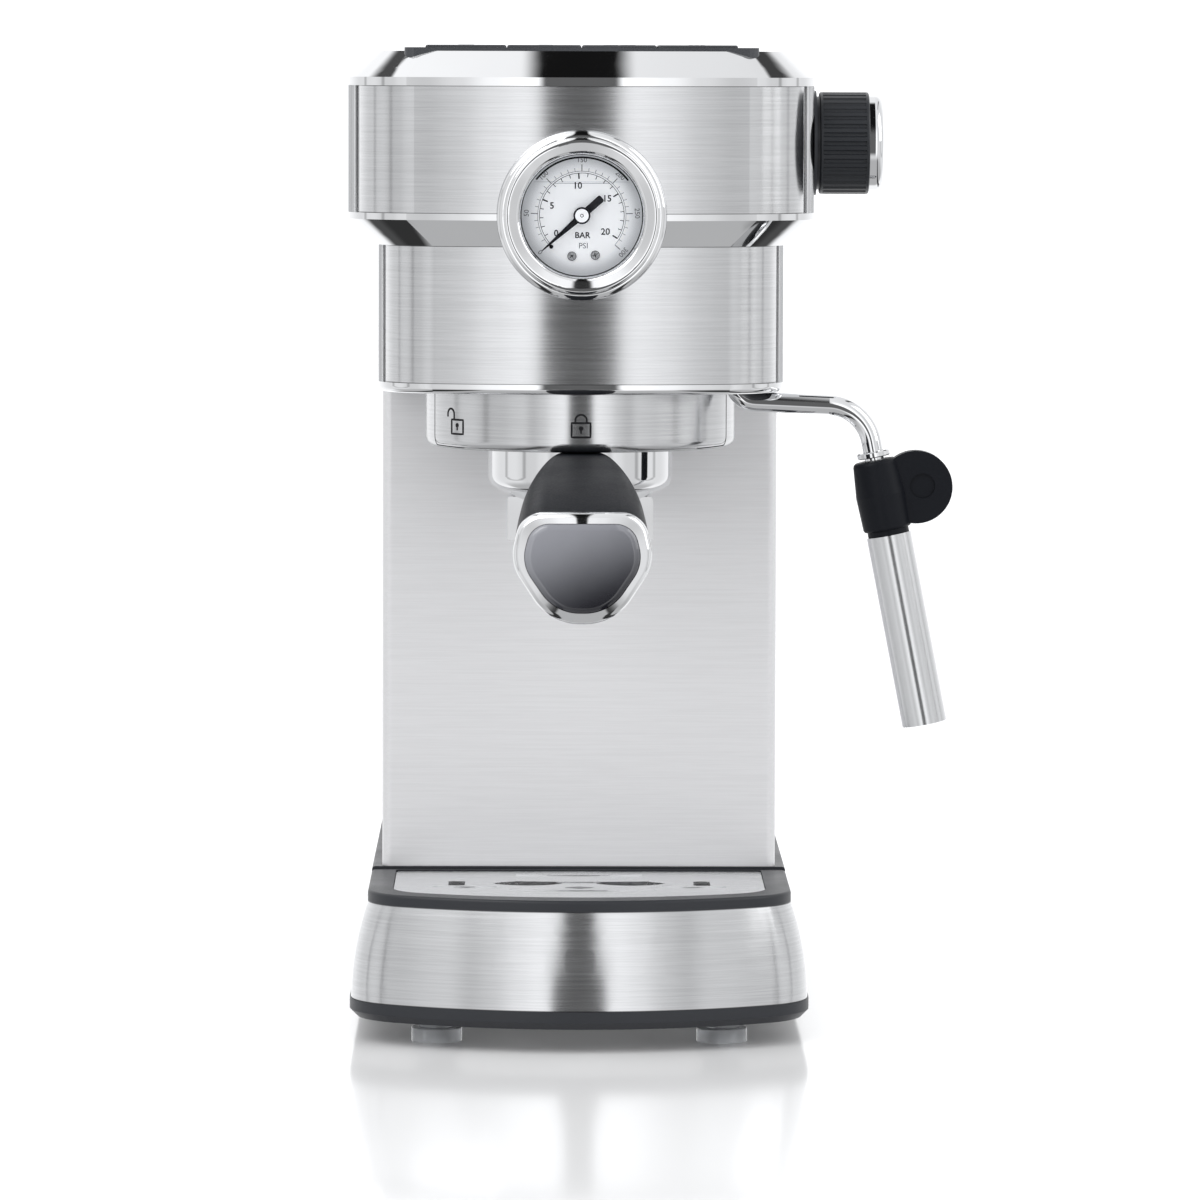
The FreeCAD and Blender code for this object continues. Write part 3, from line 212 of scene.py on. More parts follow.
def dished(name, node, slope):
    """Polished ring whose face is turned like a shallow cone: it slopes outwards, or inwards if negative."""
    material = polished(name, rough=(0.04, 0.07))
    graph = Graph(material.node_tree)
    low, high = box_of(node)
    outward = graph.vector("SUBTRACT", graph.add("ShaderNodeTexCoord").outputs["Object"], (low + high) / 2)
    outward = graph.vector("NORMALIZE", graph.vector("MULTIPLY", outward, (1, 0, 1)))
    lean = graph.vector("MULTIPLY", outward, (slope, slope, slope))
    normal = graph.vector("ADD", graph.add("ShaderNodeNewGeometry").outputs["Normal"], lean)
    graph.link(graph.vector("NORMALIZE", normal), graph.nodes["Principled BSDF"].inputs["Normal"])
    return material


def moulded(name, colour, rough, grain=0.25, grain_scale=2600, specular=0.5):
    """Moulded plastic or rubber: fine pitted texture with slightly uneven colour and gloss."""
    material, graph, shader, where = new_material(name)
    pits = graph.noise(where, grain_scale, detail=3, rough=0.6)
    cloud = graph.noise(where, 35, detail=3, rough=0.55)
    mix = graph.fade(pits, cloud, 0.5)
    tinted(graph, mix, scaled(colour, 0.75), scaled(colour, 1.25), shader.inputs["Base Color"])
    graph.link(graph.ramp(mix, 0.3, 0.7, rough * 0.82, rough * 1.18), shader.inputs["Roughness"])
    bumped(graph, shader, pits, grain, 0.08 * MM)
    shader.inputs["Specular IOR Level"].default_value = specular
    return material


def see_through(name, colour, rough, transmission, ior):
    material, graph, shader, where = new_material(name)
    cloud = graph.noise(where, 14)
    tinted(graph, cloud, scaled(colour, 0.96), colour, shader.inputs["Base Color"])
    graph.link(graph.ramp(cloud, 0.3, 0.7, rough * 0.9, rough * 1.1), shader.inputs["Roughness"])
    shader.inputs["Transmission Weight"].default_value = transmission
    shader.inputs["IOR"].default_value = ior
    return material


def enamel(name, centre, radius):
    """White dial with painted shade, greyer towards its rim, and a painted glow: it emits a little light,
    most at its centre.
    """
    material, graph, shader, where = new_material(name)
    flat = graph.vector("MULTIPLY", graph.vector("SUBTRACT", where, centre), (1, 0, 1))
    # painted shade: the dial greys towards its rim
    rim = graph.ramp(graph.vector("LENGTH", flat), radius * 0.66, radius, 0.0, 1.0)
    paper = graph.noise(where, 1500)
    shade = graph.math("ADD", rim, graph.math("MULTIPLY", paper, 0.03), clamp=True)
    tinted(graph, shade, (0.95, 0.95, 0.96), (0.66, 0.67, 0.69), shader.inputs["Base Color"])
    # painted glow: emission, strongest at the centre and weaker towards the rim
    graph.link(graph.ramp(shade, 0.0, 1.0, 0.17, 0.07), shader.inputs["Emission Strength"])
    shader.inputs["Emission Color"].default_value = (0.97, 0.98, 1.0, 1)
    shader.inputs["Roughness"].default_value = 0.5
    return material


def gloss_with_painted_reflection(name, low, high):
    """Deep gloss with a painted reflection: its colour fades from smoky grey at the upper left to black at
    the lower right.
    """
    material, graph, shader, where = new_material(name)
    split = graph.add("ShaderNodeSeparateXYZ")
    graph.link(where, split.inputs[0])
    # painted reflection: lighter towards the upper left, darker towards the lower right
    across = graph.ramp(split.outputs[0], low.x, high.x, 1.0, 0.0, smooth=False)
    up = graph.ramp(split.outputs[2], low.z, high.z, 0.0, 1.0, smooth=False)
    cloud = graph.noise(where, 120)
    slope = graph.math("ADD", graph.fade(across, up, 0.65), graph.math("MULTIPLY", cloud, 0.04))
    tinted(graph, graph.ramp(slope, 0.15, 0.95, 0.0, 1.0), (0.008, 0.008, 0.012), (0.27, 0.275, 0.3),
           shader.inputs["Base Color"])
    graph.link(graph.ramp(cloud, 0.3, 0.7, 0.1, 0.14), shader.inputs["Roughness"])
    shader.inputs["Coat Weight"].default_value = 0.6
    shader.inputs["Coat Roughness"].default_value = 0.04
    return material


dial_low, dial_high = box_of("gauge_dial")
DIAL = (dial_low + dial_high) / 2
DIAL_FACE = dial_low.y
DIAL_RADIUS = 18.7  # mm

MAT = {
    "steel": brushed("steel_brushed_round", "round"),
    "panel": brushed("steel_panel", "x", colour=(0.93, 0.93, 0.94), rough=(0.46, 0.52), aniso=0.5, grain=0.5,
                     turn=0.0),
    "flat": brushed("steel_flat", "x", colour=(0.72, 0.725, 0.735), rough=(0.24, 0.3), aniso=0.4, grain=0.7),
    "side": brushed("steel_side", "z", colour=(0.64, 0.645, 0.655), rough=(0.22, 0.3), aniso=0.0, grain=0.7),
    "satin": brushed("steel_satin", "z", colour=(0.72, 0.725, 0.735), rough=(0.17, 0.22), aniso=0.0,
                     grain=0.3),
    "chrome": polished("chrome", rough=(0.02, 0.045)),
    "bezel": dished("chrome_bezel", "gauge_bezel", -0.34),
    "shield": dished("chrome_shield", "handle_ring", 0.4),
    "spout": dished("chrome_spout", "portafilter_spout", 0.28),
    "bright": polished("steel_pressed", (0.72, 0.725, 0.735), (0.14, 0.24)),
    "black": moulded("plastic_black", (0.022, 0.024, 0.029), 0.42, 0.3, specular=0.4),
    "soft": moulded("soft_touch", (0.006, 0.007, 0.01), 0.44, 0.3, 1800, specular=0.14),
    "knob": moulded("knob_black", (0.012, 0.014, 0.018), 0.34, 0.15, specular=0.45),
    "gloss": gloss_with_painted_reflection("gloss_black", *box_of("handle_cap")),
    "deck": moulded("deck_grey", (0.05, 0.053, 0.059), 0.3, 0.15),
    "foot": see_through("foot_pad", (0.92, 0.94, 0.97), 0.22, 0.6, 1.3),
    "zinc": polished("zinc_plate", (0.6, 0.6, 0.6), (0.25, 0.4)),
    "dial": enamel("dial_enamel_painted_light", DIAL, DIAL_RADIUS * MM),
    "ink": moulded("ink_black", (0.006, 0.006, 0.008), 0.5, 0.05, specular=0.2),
    "ink_grey": moulded("ink_grey", (0.13, 0.13, 0.14), 0.5, 0.05, specular=0.2),
    "ink_pale": moulded("ink_pale", (0.5, 0.51, 0.53), 0.4, 0.05, specular=0.3),
    "needle": moulded("needle_black", (0.006, 0.006, 0.01), 0.4, 0.05, specular=0.3),
    "brass": polished("brass", (0.75, 0.56, 0.28), (0.18, 0.3)),
    "alloy": polished("cast_alloy", (0.55, 0.555, 0.565), (0.35, 0.5)),
    "rubber": moulded("rubber_black", (0.02, 0.02, 0.021), 0.62, 0.3),
    "tank": see_through("tank_smoked", (0.3, 0.34, 0.37), 0.08, 0.85, 1.45),
    "lens": see_through("gauge_lens", (0.98, 0.99, 1.0), 0.01, 1.0, 1.06),
    "board": moulded("laminate_green", (0.02, 0.12, 0.05), 0.4, 0.1),
}

FINISH = {
    "steel": "base_shell",
    "panel": "column_front_panel",
    "flat": "drip_grate cup_warmer",
    "side": "side_panel_left side_panel_right upper_side_left upper_side_right gauge_case",
    "satin": "froth_sleeve",
    "chrome": "top_ring mid_ring bottom_trim gauge_boss steam_knob_cap wand_tube portafilter_bowl",
    "spout": "portafilter_spout",
    "bezel": "gauge_bezel",
    "shield": "handle_ring",
    "black": "base_plate drip_tray base_deck chassis rear_cover head_floor knob_collar cord_gland pump",
    "soft": "portafilter_handle wand_grip froth_nozzle",
    "knob": "steam_knob",
    "gloss": "handle_cap",
    "deck": "top_deck tank_lid button_power button_one_cup button_two_cups button_steam",
    "foot": "feet",
    "zinc": "foot_screws",
    "dial": "gauge_dial",
    "needle": "gauge_needle",
    "lens": "gauge_lens",
    "brass": "gauge_movement steam_valve wand_nut",
    "alloy": "group_ring thermoblock",
    "bright": "filter_basket shower_screen",
    "rubber": "group_gasket hoses",
    "tank": "water_tank",
    "board": "switch_board",
}

# Round brushed sheets with painted shade at their lower and upper edges.
PAINTED_SHADE_SHEETS = "upper_front_band lower_front_band drip_tray_skin group_skirt"


def dress(node, material):
    mesh = nodes[node].data
    mesh.materials.clear()
    mesh.materials.append(material)


for finish, names in FINISH.items():
    for name in names.split():
        dress(name, MAT[finish])
for name in PAINTED_SHADE_SHEETS.split():
    low, high = box_of(name)
    dress(name, brushed("steel_" + name, "round", seam=(low.z, high.z)))


# ---- marks: flat raised strokes drawn in mm on a surface -----------------------------------------------

def add_piece(name, points, faces, material, body):
    mesh = bpy.data.meshes.new(name)
    mesh.from_pydata(points, [], faces)
    mesh.materials.append(MAT[material])
    made = bpy.data.objects.new(name, mesh)
    bpy.context.scene.collection.objects.link(made)
    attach(made, body)


def lettering(words, size, bold):
    """Outline of some words as points and faces, centred, one unit thick."""
    curve = bpy.data.curves.new("words", "FONT")
    curve.body, curve.size, curve.offset = words, size, bold
    curve.align_x = curve.align_y = "CENTER"
    curve.resolution_u = 3
    curve.extrude = 0.5
    carrier = bpy.data.objects.new("words", curve)
    bpy.context.scene.collection.objects.link(carrier)
    mesh = bpy.data.meshes.new_from_object(carrier)
    shape = [v.co.copy() for v in mesh.vertices], [tuple(p.vertices) for p in mesh.polygons]
    bpy.data.meshes.remove(mesh)
    bpy.data.objects.remove(carrier)
    bpy.data.curves.remove(curve)
    return shape


class Marks:
    """Gathers strokes, discs and words on one surface into a single piece.

    surface turns a point (u, v) on it and a height above it, in mm, into a point of the frame.
    """

    def __init__(self, surface, height):
        self.surface = surface
        self.height = height
        self.points = []
        self.faces = []

    def add(self, points, faces):
        start = len(self.points)
        self.points += [self.surface(*p) for p in points]
        self.faces += [tuple(i + start for i in face) for face in faces]

    def line(self, path, width, closed=False, step=0.8):
        """Stroke along a path, in pieces of about one step so that it follows a curved surface."""
        fine = []
        pairs = zip(path, path[1:] + path[:1]) if closed else zip(path, path[1:])
        for (ax, ay), (bx, by) in pairs:
            parts = max(1, round(math.hypot(bx - ax, by - ay) / step))
            fine += [(ax + (bx - ax) * i / parts, ay + (by - ay) * i / parts) for i in range(parts)]
        if not closed:
            fine.append(path[-1])
        count = len(fine)
        points = []
        for i, here in enumerate(fine):
            before = fine[i - 1] if closed or i else here
            after = fine[(i + 1) % count] if closed or i + 1 < count else here
            along = Vector((after[0] - before[0], after[1] - before[1])).normalized() * width / 2
            for side, level in ((-1, 0), (1, 0), (1, 1), (-1, 1)):
                points.append((here[0] - side * along.y, here[1] + side * along.x, level * self.height))
        spans = count if closed else count - 1
        faces = []
        for i in range(spans):
            a, b = 4 * i, 4 * ((i + 1) % count)
            faces += [(a + k, a + (k + 1) % 4, b + (k + 1) % 4, b + k) for k in range(4)]
        if not closed:
            last = 4 * (count - 1)
            faces += [(3, 2, 1, 0), (last, last + 1, last + 2, last + 3)]
        self.add(points, faces)

    def arc(self, centre, radius, start, end, width):
        """Stroke round a centre between two angles in degrees."""
        turns = max(6, round(abs(end - start) / 4))
        closed = abs(end - start) >= 360
        path = []
        for i in range(turns if closed else turns + 1):
            angle = math.radians(start + (end - start) * i / turns)
            path.append((centre[0] + radius * math.cos(angle), centre[1] + radius * math.sin(angle)))
        self.line(path, width, closed, step=radius)

    def disc(self, centre, radius, rise=1.0, sides=28):
        ring = [(radius * math.cos(2 * math.pi * i / sides), radius * math.sin(2 * math.pi * i / sides))
                for i in range(sides)]
        points = [(centre[0] + u, centre[1] + v, level) for level in (0, rise * self.height) for u, v in ring]
        walls = [(i, (i + 1) % sides, sides + (i + 1) % sides, sides + i) for i in range(sides)]
        self.add(points, walls + [tuple(reversed(range(sides))), tuple(range(sides, 2 * sides))])

    def words(self, text, at, tall, turn=0.0, bold=0.02):
        points, faces = lettering(text, tall / 0.7, bold)
        spin = Matrix.Rotation(math.radians(turn), 2)
        placed = []
        for p in points:
            u, v = spin @ p.xy
            placed.append((at[0] + u, at[1] + v, (p.z + 0.5) * self.height))
        self.add(placed, faces)

    def piece(self, name, material, body, slot):
        add_piece(name, self.points, self.faces, material, body)


# ---- gauge: scales, needle hub, screws -----------------------------------------------------------------

# Each scale runs clockwise from its zero, by so many degrees for one bar or for 10 psi.
BAR_ZERO, BAR_STEP, BAR_END = 221.6, 12.72, 20
PSI_ZERO, PSI_STEP, PSI_END = 221.6, 8.77, 30

# Numbers of the bar scale and where they stand from the dial's centre.
BAR_NUMBERS = {"0": (-7.8, -5.5), "5": (-9.1, 2.9), "10": (-1.3, 9.0), "15": (7.7, 5.1), "20": (7.2, -5.0)}


def dial_plane(front):
    """Upright surface centred on the dial, at this distance along Y."""
    return lambda u, v, w: Vector((DIAL.x + u * MM, front - w * MM, DIAL.z + v * MM))


def polar(radius, angle):
    return radius * math.cos(math.radians(angle)), radius * math.sin(math.radians(angle))


def dial_marks():
    on_dial = dial_plane(DIAL_FACE)
    inner = 0.69 * DIAL_RADIUS
    black = Marks(on_dial, 0.06)
    black.arc((0, 0), inner, BAR_ZERO, BAR_ZERO - BAR_END * BAR_STEP, 0.16)
    for bar in range(BAR_END + 1):
        angle = BAR_ZERO - bar * BAR_STEP
        long, thick = (1.75, 0.42) if bar % 5 == 0 else (1.15, 0.22)
        black.line([polar(inner, angle), polar(inner - long, angle)], thick)
    for text, at in BAR_NUMBERS.items():
        black.words(text, at, 1.95, bold=0.05)
    black.words("BAR", (0.2, -6.1), 1.8, bold=0.05)
    # painted shade of the bezel, drawn in black: an arc at the top and a ring round the rim
    black.arc((0, 0), 0.945 * DIAL_RADIUS, 37, 142, 0.55)
    black.arc((0, 0), 0.992 * DIAL_RADIUS, 0, 360, 0.3)
    black.piece("dial_bar_scale_and_painted_shade", "ink", "machine", "needle_black")

    outer = 0.72 * DIAL_RADIUS
    grey = Marks(on_dial, 0.05)
    grey.arc((0, 0), outer, PSI_ZERO, PSI_ZERO - PSI_END * PSI_STEP, 0.13)
    for mark in range(PSI_END + 1):
        angle = PSI_ZERO - mark * PSI_STEP
        numbered = mark % 5 == 0
        long, thick = (2.1, 0.24) if numbered else (1.1, 0.14)
        grey.line([polar(outer, angle), polar(outer + long, angle)], thick)
        if numbered:
            grey.words(str(mark * 10), polar(0.9 * DIAL_RADIUS, angle), 1.5, turn=angle - 90, bold=0.0)
    grey.words("PSI", (0.5, -9.3), 1.7, bold=0.0)
    grey.piece("dial_psi_scale", "ink_grey", "machine", "needle_black")

    # surface of the damping liquid
    pale = Marks(on_dial, 0.04)
    pale.line([(-14.6, 10.2), (14.6, 10.2)], 0.12)
    pale.line([(-8.6, 9.75), (8.6, 9.75)], 0.2)
    pale.piece("dial_level_line", "ink_pale", "machine", "dial_white")


def dial_screws():
    on_dial = dial_plane(DIAL_FACE)
    heads = Marks(on_dial, 0.3)
    slots = Marks(on_dial, 0.36)
    for at, turn in (((-3.0, -12.4), 40), ((4.1, -12.1), 15)):
        heads.disc(at, 1.15)
        slots.arc(at, 1.3, 0, 360, 0.16)
        for quarter in (0, 90):
            reach = polar(0.62, turn + quarter)
            slots.line([(at[0] - reach[0], at[1] - reach[1]), (at[0] + reach[0], at[1] + reach[1])], 0.26)
    heads.piece("dial_screw_heads", "bright", "machine", "bright_steel")
    # stop pin of the needle
    slots.disc((-9.3, -9.5), 0.62, rise=3.0)
    slots.piece("dial_screw_slots", "ink", "machine", "needle_black")


def needle_hub():
    on_hub = dial_plane(box_of("gauge_needle")[0].y)
    cap = Marks(on_hub, 0.16)
    cap.disc((0, 0), 2.05, sides=40)
    # the cap takes the dial's material, with its painted glow
    cap.piece("needle_hub_cap", "dial", "needle", "dial_white")
    rings = Marks(on_hub, 0.2)
    rings.arc((0, 0), 2.3, 0, 360, 0.5)
    rings.arc((0, 0), 0.45, 0, 360, 0.2)
    rings.piece("needle_hub_rings", "needle", "needle", "needle_black")


# ---- brew group: lock marks and fascia line ------------------------------------------------------------

# Padlock: half its width, its height, how far it stands above the skirt's lower edge, and its hook's radius.
LOCK_HALF, LOCK_TALL, LOCK_FOOT, LOCK_HOOK = 2.9, 4.4, 4.9, 1.75
# The open padlock stands this many degrees to the left of the shut one.
UNLOCKED = 52
# The fascia line: degrees to each side, radius of its bend, and how far it runs on after the bend.
FASCIA_SIDE, FASCIA_BEND, FASCIA_RUN = 69, 3.0, 18


def padlock(marks, centre, foot, opened):
    top = foot + LOCK_TALL
    marks.line([(centre - LOCK_HALF, foot), (centre + LOCK_HALF, foot), (centre + LOCK_HALF, top),
                (centre - LOCK_HALF, top)], 0.62, closed=True)
    marks.disc((centre, foot + 2.7), 0.7)
    marks.line([(centre, foot + 2.6), (centre, foot + 1.1)], 0.5)
    hook = centre - 3.3 if opened else centre
    shoulder = foot + (6.0 if opened else 5.2)
    free_end = shoulder - 0.8 if opened else top
    marks.arc((hook, shoulder), LOCK_HOOK, 0, 180, 0.58)
    marks.line([(hook + LOCK_HOOK, top), (hook + LOCK_HOOK, shoulder)], 0.58)
    marks.line([(hook - LOCK_HOOK, free_end), (hook - LOCK_HOOK, shoulder)], 0.58)


def group_marks():
    low, high = box_in_mm("group_skirt")
    radius = (high.x - low.x) / 2
    axis_y = low.y + radius

    def on_skirt(u, v, w):
        angle = u / radius
        reach = radius + w
        return Vector((DIAL.x * 1000 + reach * math.sin(angle), axis_y - reach * math.cos(angle), v)) * MM

    marks = Marks(on_skirt, 0.1)
    padlock(marks, 0.0, low.z + LOCK_FOOT, opened=False)
    padlock(marks, -math.radians(UNLOCKED) * radius, low.z + LOCK_FOOT, opened=True)
    marks.piece("group_lock_marks", "ink", "machine", "needle_black")

    seam = Marks(on_skirt, 0.05)
    steps = 8
    for side in (-1, 1):
        edge = side * math.radians(FASCIA_SIDE) * radius
        corner = low.z + 1.0 + FASCIA_BEND
        path = [(edge, high.z - 0.1), (edge, corner)]
        for i in range(1, steps + 1):
            turn = math.radians(90 * i / steps)
            inward = FASCIA_BEND * (1 - math.cos(turn))
            path.append((edge - side * inward, corner - FASCIA_BEND * math.sin(turn)))
        path.append((edge - side * FASCIA_RUN, low.z + 0.7))
        seam.line(path, 0.32)
    seam.piece("group_fascia_line", "ink", "machine", "gloss_black")


# ---- drip grate: stamped lines and centre mark ---------------------------------------------------------

# Stamped lines of the grate: distance from its front edge, left end, right end, bow.
STAMPED = [(24, -22, 24, 2.0), (33, -46, -26, 1.2), (33, 26, 46, 1.2), (47, -20, 22, 1.6), (66, -20, 20, 1.4)]
# The lozenges between its holes: distance from the front edge, half their depths, and width over depth.
LOZENGE_AT, LOZENGES, LOZENGE_STRETCH = 31, (0.6, 1.5, 2.4), 1.7


def grate_marks():
    low, high = box_in_mm("drip_grate")

    def on_grate(u, v, w):
        return Vector((u + DIAL.x * 1000, low.y + v, high.z + w)) * MM

    ribs = Marks(on_grate, 0.25)
    parts = 12
    for depth, start, end, bow in STAMPED:
        path = []
        for i in range(parts + 1):
            share = i / parts
            path.append((start + (end - start) * share, depth - bow * 4 * share * (1 - share)))
        ribs.line(path, 0.55)
    ribs.piece("grate_stamped_ribs", "bright", "grate", "bright_steel")
    mark = Marks(on_grate, 0.06)
    for reach in LOZENGES:
        wide = reach * LOZENGE_STRETCH
        mark.line([(-wide, LOZENGE_AT), (0, LOZENGE_AT - reach), (wide, LOZENGE_AT), (0, LOZENGE_AT + reach)],
                  0.9, closed=True)
    mark.piece("grate_centre_mark", "deck", "grate", "deck_grey")


# ---- steam wand collar, button symbols -----------------------------------------------------------------

# Section of the wand's collar, as radius and height, and how far it is from the middle of the sleeve.
COLLAR = [(3.25, 0), (4.9, 0), (5.15, 0.25), (5.15, 1.5), (4.85, 1.8), (3.25, 1.8)]
COLLAR_RISE = 54.5


def wand_collar():
    """Turned ring where the tube enters the grip."""
    pull = next(j for j in frame["joints"] if j["name"] == "froth_sleeve_pull")
    axis = Vector(pull["axis"]).normalized()
    if axis.z < 0:
        axis = -axis
    low, high = box_of("froth_sleeve")
    foot = (low + high) / 2 + axis * COLLAR_RISE * MM
    across = axis.cross(Vector((0, 1, 0))).normalized()
    ahead = across.cross(axis)
    sides, count = 48, len(COLLAR)
    points, faces = [], []
    for i in range(sides):
        angle = 2 * math.pi * i / sides
        out = across * math.cos(angle) + ahead * math.sin(angle)
        points += [foot + out * radius * MM + axis * height * MM for radius, height in COLLAR]
        a, b = i * count, (i + 1) % sides * count
        faces += [(a + k, b + k, b + (k + 1) % count, a + (k + 1) % count) for k in range(count)]
    add_piece("wand_collar_ring", points, faces, "chrome", "wand")


def cup(marks, x, y):
    bowl = [(-1.7, 1.6), (-1.2, -1.5), (1.2, -1.5), (1.7, 1.6)]
    marks.line([(x + u, y + v) for u, v in bowl], 0.35, closed=True)
    marks.arc((x + 1.6, y + 0.2), 0.9, -90, 90, 0.35)


def button_symbols():
    def on_button(node):
        low, high = box_in_mm(node)
        x, y = (low.x + high.x) / 2, (low.y + high.y) / 2
        return Marks(lambda u, v, w: Vector((x + u, y + v, high.z + w)) * MM, 0.08)

    power = on_button("button_power")
    power.arc((0, 0), 2.2, 125, 415, 0.4)
    power.line([(0, 0.8), (0, 3.0)], 0.4)
    power.piece("symbol_power", "ink_pale", "power_key", "dial_white")

    single = on_button("button_one_cup")
    cup(single, 0, 0)
    single.piece("symbol_one_cup", "ink_pale", "one_cup_key", "dial_white")

    double = on_button("button_two_cups")
    cup(double, -2.9, 0)
    cup(double, 2.4, 0)
    double.piece("symbol_two_cups", "ink_pale", "two_cups_key", "dial_white")

    steam = on_button("button_steam")
    for x in (-1.8, 0, 1.8):
        steam.line([(x + 0.5 * math.sin(i * 0.6), -2.6 + i * 0.4) for i in range(14)], 0.38)
    steam.piece("symbol_steam", "ink_pale", "steam_key", "dial_white")


dial_marks()
dial_screws()
needle_hub()
group_marks()
grate_marks()
wand_collar()
button_symbols()


# ---- light, floor, camera ----------------------------------------------------------------------------

def window(graph, value, start, end, soft):
    """One between start and end, zero outside."""
    rise = graph.ramp(value, start - soft, start + soft, 0.0, 1.0)
    fall = graph.ramp(value, end - soft, end + soft, 1.0, 0.0)
    return graph.math("MULTIPLY", rise, fall)


# Brightness that metal mirrors around the machine, by the angle from straight ahead in degrees.
STUDIO_LEVELS = [(0, 1.35), (12, 1.35), (20, 1.15), (28, 0.85), (36, 0.68), (43, 0.88), (50, 0.84),
                 (60, 0.74), (72, 0.72), (90, 0.88), (115, 0.85), (150, 1.1), (180, 1.35)]
# A colour ramp holds no more than one, so its levels are kept as shares of this one.
BRIGHTEST = 1.5
# Brightness that the camera sees behind the machine, and that matt surfaces are lit by.
BACKDROP, AMBIENT = 1.35, 1.1


def studio():
    """Soft boxes left and right with a dark gap between them, which polished and brushed metal mirror."""
    world = bpy.data.worlds.new("studio")
    bpy.context.scene.world = world
    world.use_nodes = True
    graph = Graph(world.node_tree)
    graph.nodes.clear()
    split = graph.add("ShaderNodeSeparateXYZ")
    graph.link(graph.add("ShaderNodeTexCoord").outputs["Generated"], split.inputs[0])
    x, y, z = split.outputs
    side = graph.math("ABSOLUTE", x)

    turn = graph.math("ARCTAN2", side, graph.math("MULTIPLY", y, -1.0))
    curve = graph.add("ShaderNodeValToRGB")
    ramp = curve.color_ramp
    ramp.interpolation = "EASE"
    for angle, level in STUDIO_LEVELS[1:-1]:
        ramp.elements.new(angle / 180).color = (*[level / BRIGHTEST] * 3, 1)
    for end in (0, -1):
        ramp.elements[end].color = (*[STUDIO_LEVELS[end][1] / BRIGHTEST] * 3, 1)
    graph.link(graph.math("DIVIDE", turn, math.pi), curve.inputs[0])
    around = graph.math("MULTIPLY", curve.outputs[0], BRIGHTEST)

    # overhead the boxes are even, underfoot the room is grey
    overhead = graph.ramp(z, 0.35, 0.75, 0.0, 1.0)
    underfoot = graph.ramp(z, -0.35, -0.7, 0.0, 1.0)
    ceiling = graph.ramp(x, -0.5, 0.5, 1.15, 0.85)
    ground = graph.ramp(y, 0.4, 0.55, 0.5, 1.1)
    lit = graph.fade(graph.fade(around, ceiling, overhead), ground, underfoot)

    # edges of the boxes: dark lines at the sides, overhead and underfoot
    level_line = graph.math("MULTIPLY", window(graph, side, 0.95, 0.972, 0.008),
                            graph.ramp(z, 0.4, 0.5, 0.4, 0.0))
    top_line = graph.math("MULTIPLY", window(graph, side, 0.385, 0.455, 0.012),
                          graph.ramp(z, 0.6, 0.75, 0.0, 1.0))
    top_line = graph.math("MULTIPLY", top_line, graph.ramp(y, 0.0, 0.1, 0.0, 1.0))
    low_patch = graph.math("MULTIPLY", window(graph, side, 0.34, 0.485, 0.02),
                           graph.ramp(z, -0.5, -0.65, 0.0, 1.0))
    lines = graph.math("MAXIMUM", level_line, graph.math("MAXIMUM", top_line, low_patch))
    lit = graph.math("MULTIPLY", lit, graph.ramp(lines, 0.0, 1.0, 1.0, 0.07, smooth=False))

    # the dark gap: straight ahead, narrower higher up, and black overhead
    edge = graph.ramp(z, 0.0, 0.3, 0.155, 0.082, smooth=False)
    gap = graph.ramp(graph.math("SUBTRACT", side, edge), -0.02, 0.02, 1.0, 0.0)
    gap = graph.math("MULTIPLY", gap, graph.ramp(y, 0.25, 0.45, 1.0, 0.0))
    gap = graph.math("MULTIPLY", gap, graph.ramp(z, -0.6, -0.35, 0.0, 1.0))
    in_gap = graph.ramp(z, 0.3, 0.7, 0.13, 0.008)
    level = graph.fade(lit, in_gap, gap)

    path = graph.add("ShaderNodeLightPath")
    for ray, plain in (("Is Diffuse Ray", AMBIENT), ("Is Camera Ray", BACKDROP)):
        level = graph.mix(path.outputs[ray], level, plain, kind="FLOAT")
    back = graph.add("ShaderNodeBackground", Color=(0.985, 0.99, 1.0, 1))
    graph.link(level, back.inputs["Strength"])
    graph.link(back.outputs[0], graph.add("ShaderNodeOutputWorld").inputs[0])


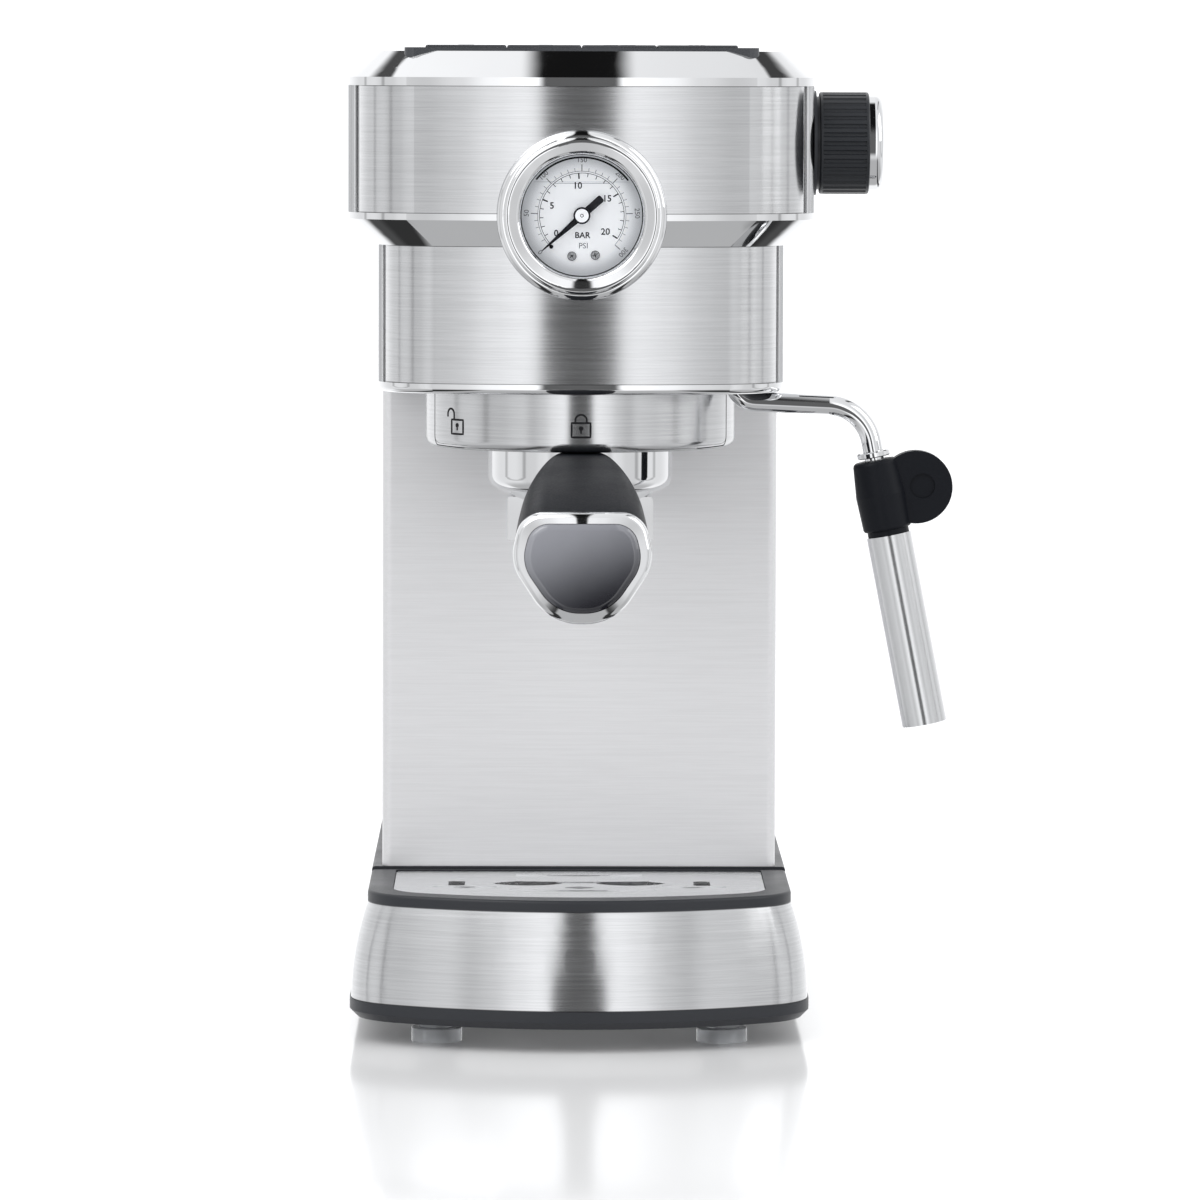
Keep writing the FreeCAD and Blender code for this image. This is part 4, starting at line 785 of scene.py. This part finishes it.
def soft_light(name, at, size, power):
    """Rectangular lamp that is aimed at the middle of the machine."""
    data = bpy.data.lights.new(name, "AREA")
    data.shape = "RECTANGLE"
    data.size, data.size_y = size
    data.energy = power
    lamp = bpy.data.objects.new(name, data)
    lamp.location = at
    lamp.rotation_euler = (Vector((0, 0, 0.15)) - Vector(at)).to_track_quat("-Z", "Y").to_euler()
    bpy.context.scene.collection.objects.link(lamp)


def table():
    """White table. Metal doesn't mirror it: it mirrors the world underfoot instead."""
    reach = 6.0
    mesh = bpy.data.meshes.new("table")
    corners = [(-reach, -reach, 0), (reach, -reach, 0), (reach, reach, 0), (-reach, reach, 0)]
    mesh.from_pydata(corners, [], [(0, 1, 2, 3)])
    top = bpy.data.objects.new("table", mesh)
    bpy.context.scene.collection.objects.link(top)
    material, graph, shader, where = new_material("table_white")
    cloud = graph.noise(where, 3)
    tinted(graph, cloud, (0.93, 0.932, 0.935), (0.95, 0.951, 0.953), shader.inputs["Base Color"])
    graph.link(graph.ramp(cloud, 0.3, 0.7, 0.09, 0.12), shader.inputs["Roughness"])
    shader.inputs["Specular IOR Level"].default_value = 0.35
    mesh.materials.append(material)
    top.visible_glossy = False


# The camera, fitted to the photograph. Its focal length, and how far down and to the right it aims, are given
# for a picture that is FRAME wide.
FRAME, FOCAL, AIM_DOWN, AIM_RIGHT = 1200.0, 7442.0, 555, 58.5
SENSOR = 36.0
ROLL = math.radians(-0.15)
EYE = place(-12, -2275, 310)


def camera():
    data = bpy.data.cameras.new("camera")
    data.sensor_width = SENSOR
    data.lens = FOCAL / FRAME * SENSOR
    data.clip_start, data.clip_end = 0.05, 30.0
    view = bpy.data.objects.new("camera", data)
    pitch, yaw = math.atan2(AIM_DOWN, FOCAL), math.atan2(AIM_RIGHT, FOCAL)
    forward = Vector((math.sin(yaw) * math.cos(pitch), math.cos(yaw) * math.cos(pitch), -math.sin(pitch)))
    turn = forward.to_track_quat("-Z", "Y").to_matrix() @ Matrix.Rotation(-ROLL, 3, "Z")
    view.matrix_world = Matrix.Translation(EYE) @ turn.to_4x4()
    bpy.context.scene.collection.objects.link(view)
    bpy.context.scene.camera = view


studio()
table()
camera()
soft_light("key", (-0.9, -0.9, 1.5), (0.9, 1.3), 9)
soft_light("fill", (1.2, -0.4, 0.9), (0.8, 1.2), 4)
bpy.context.scene.view_settings.view_transform = "Standard"
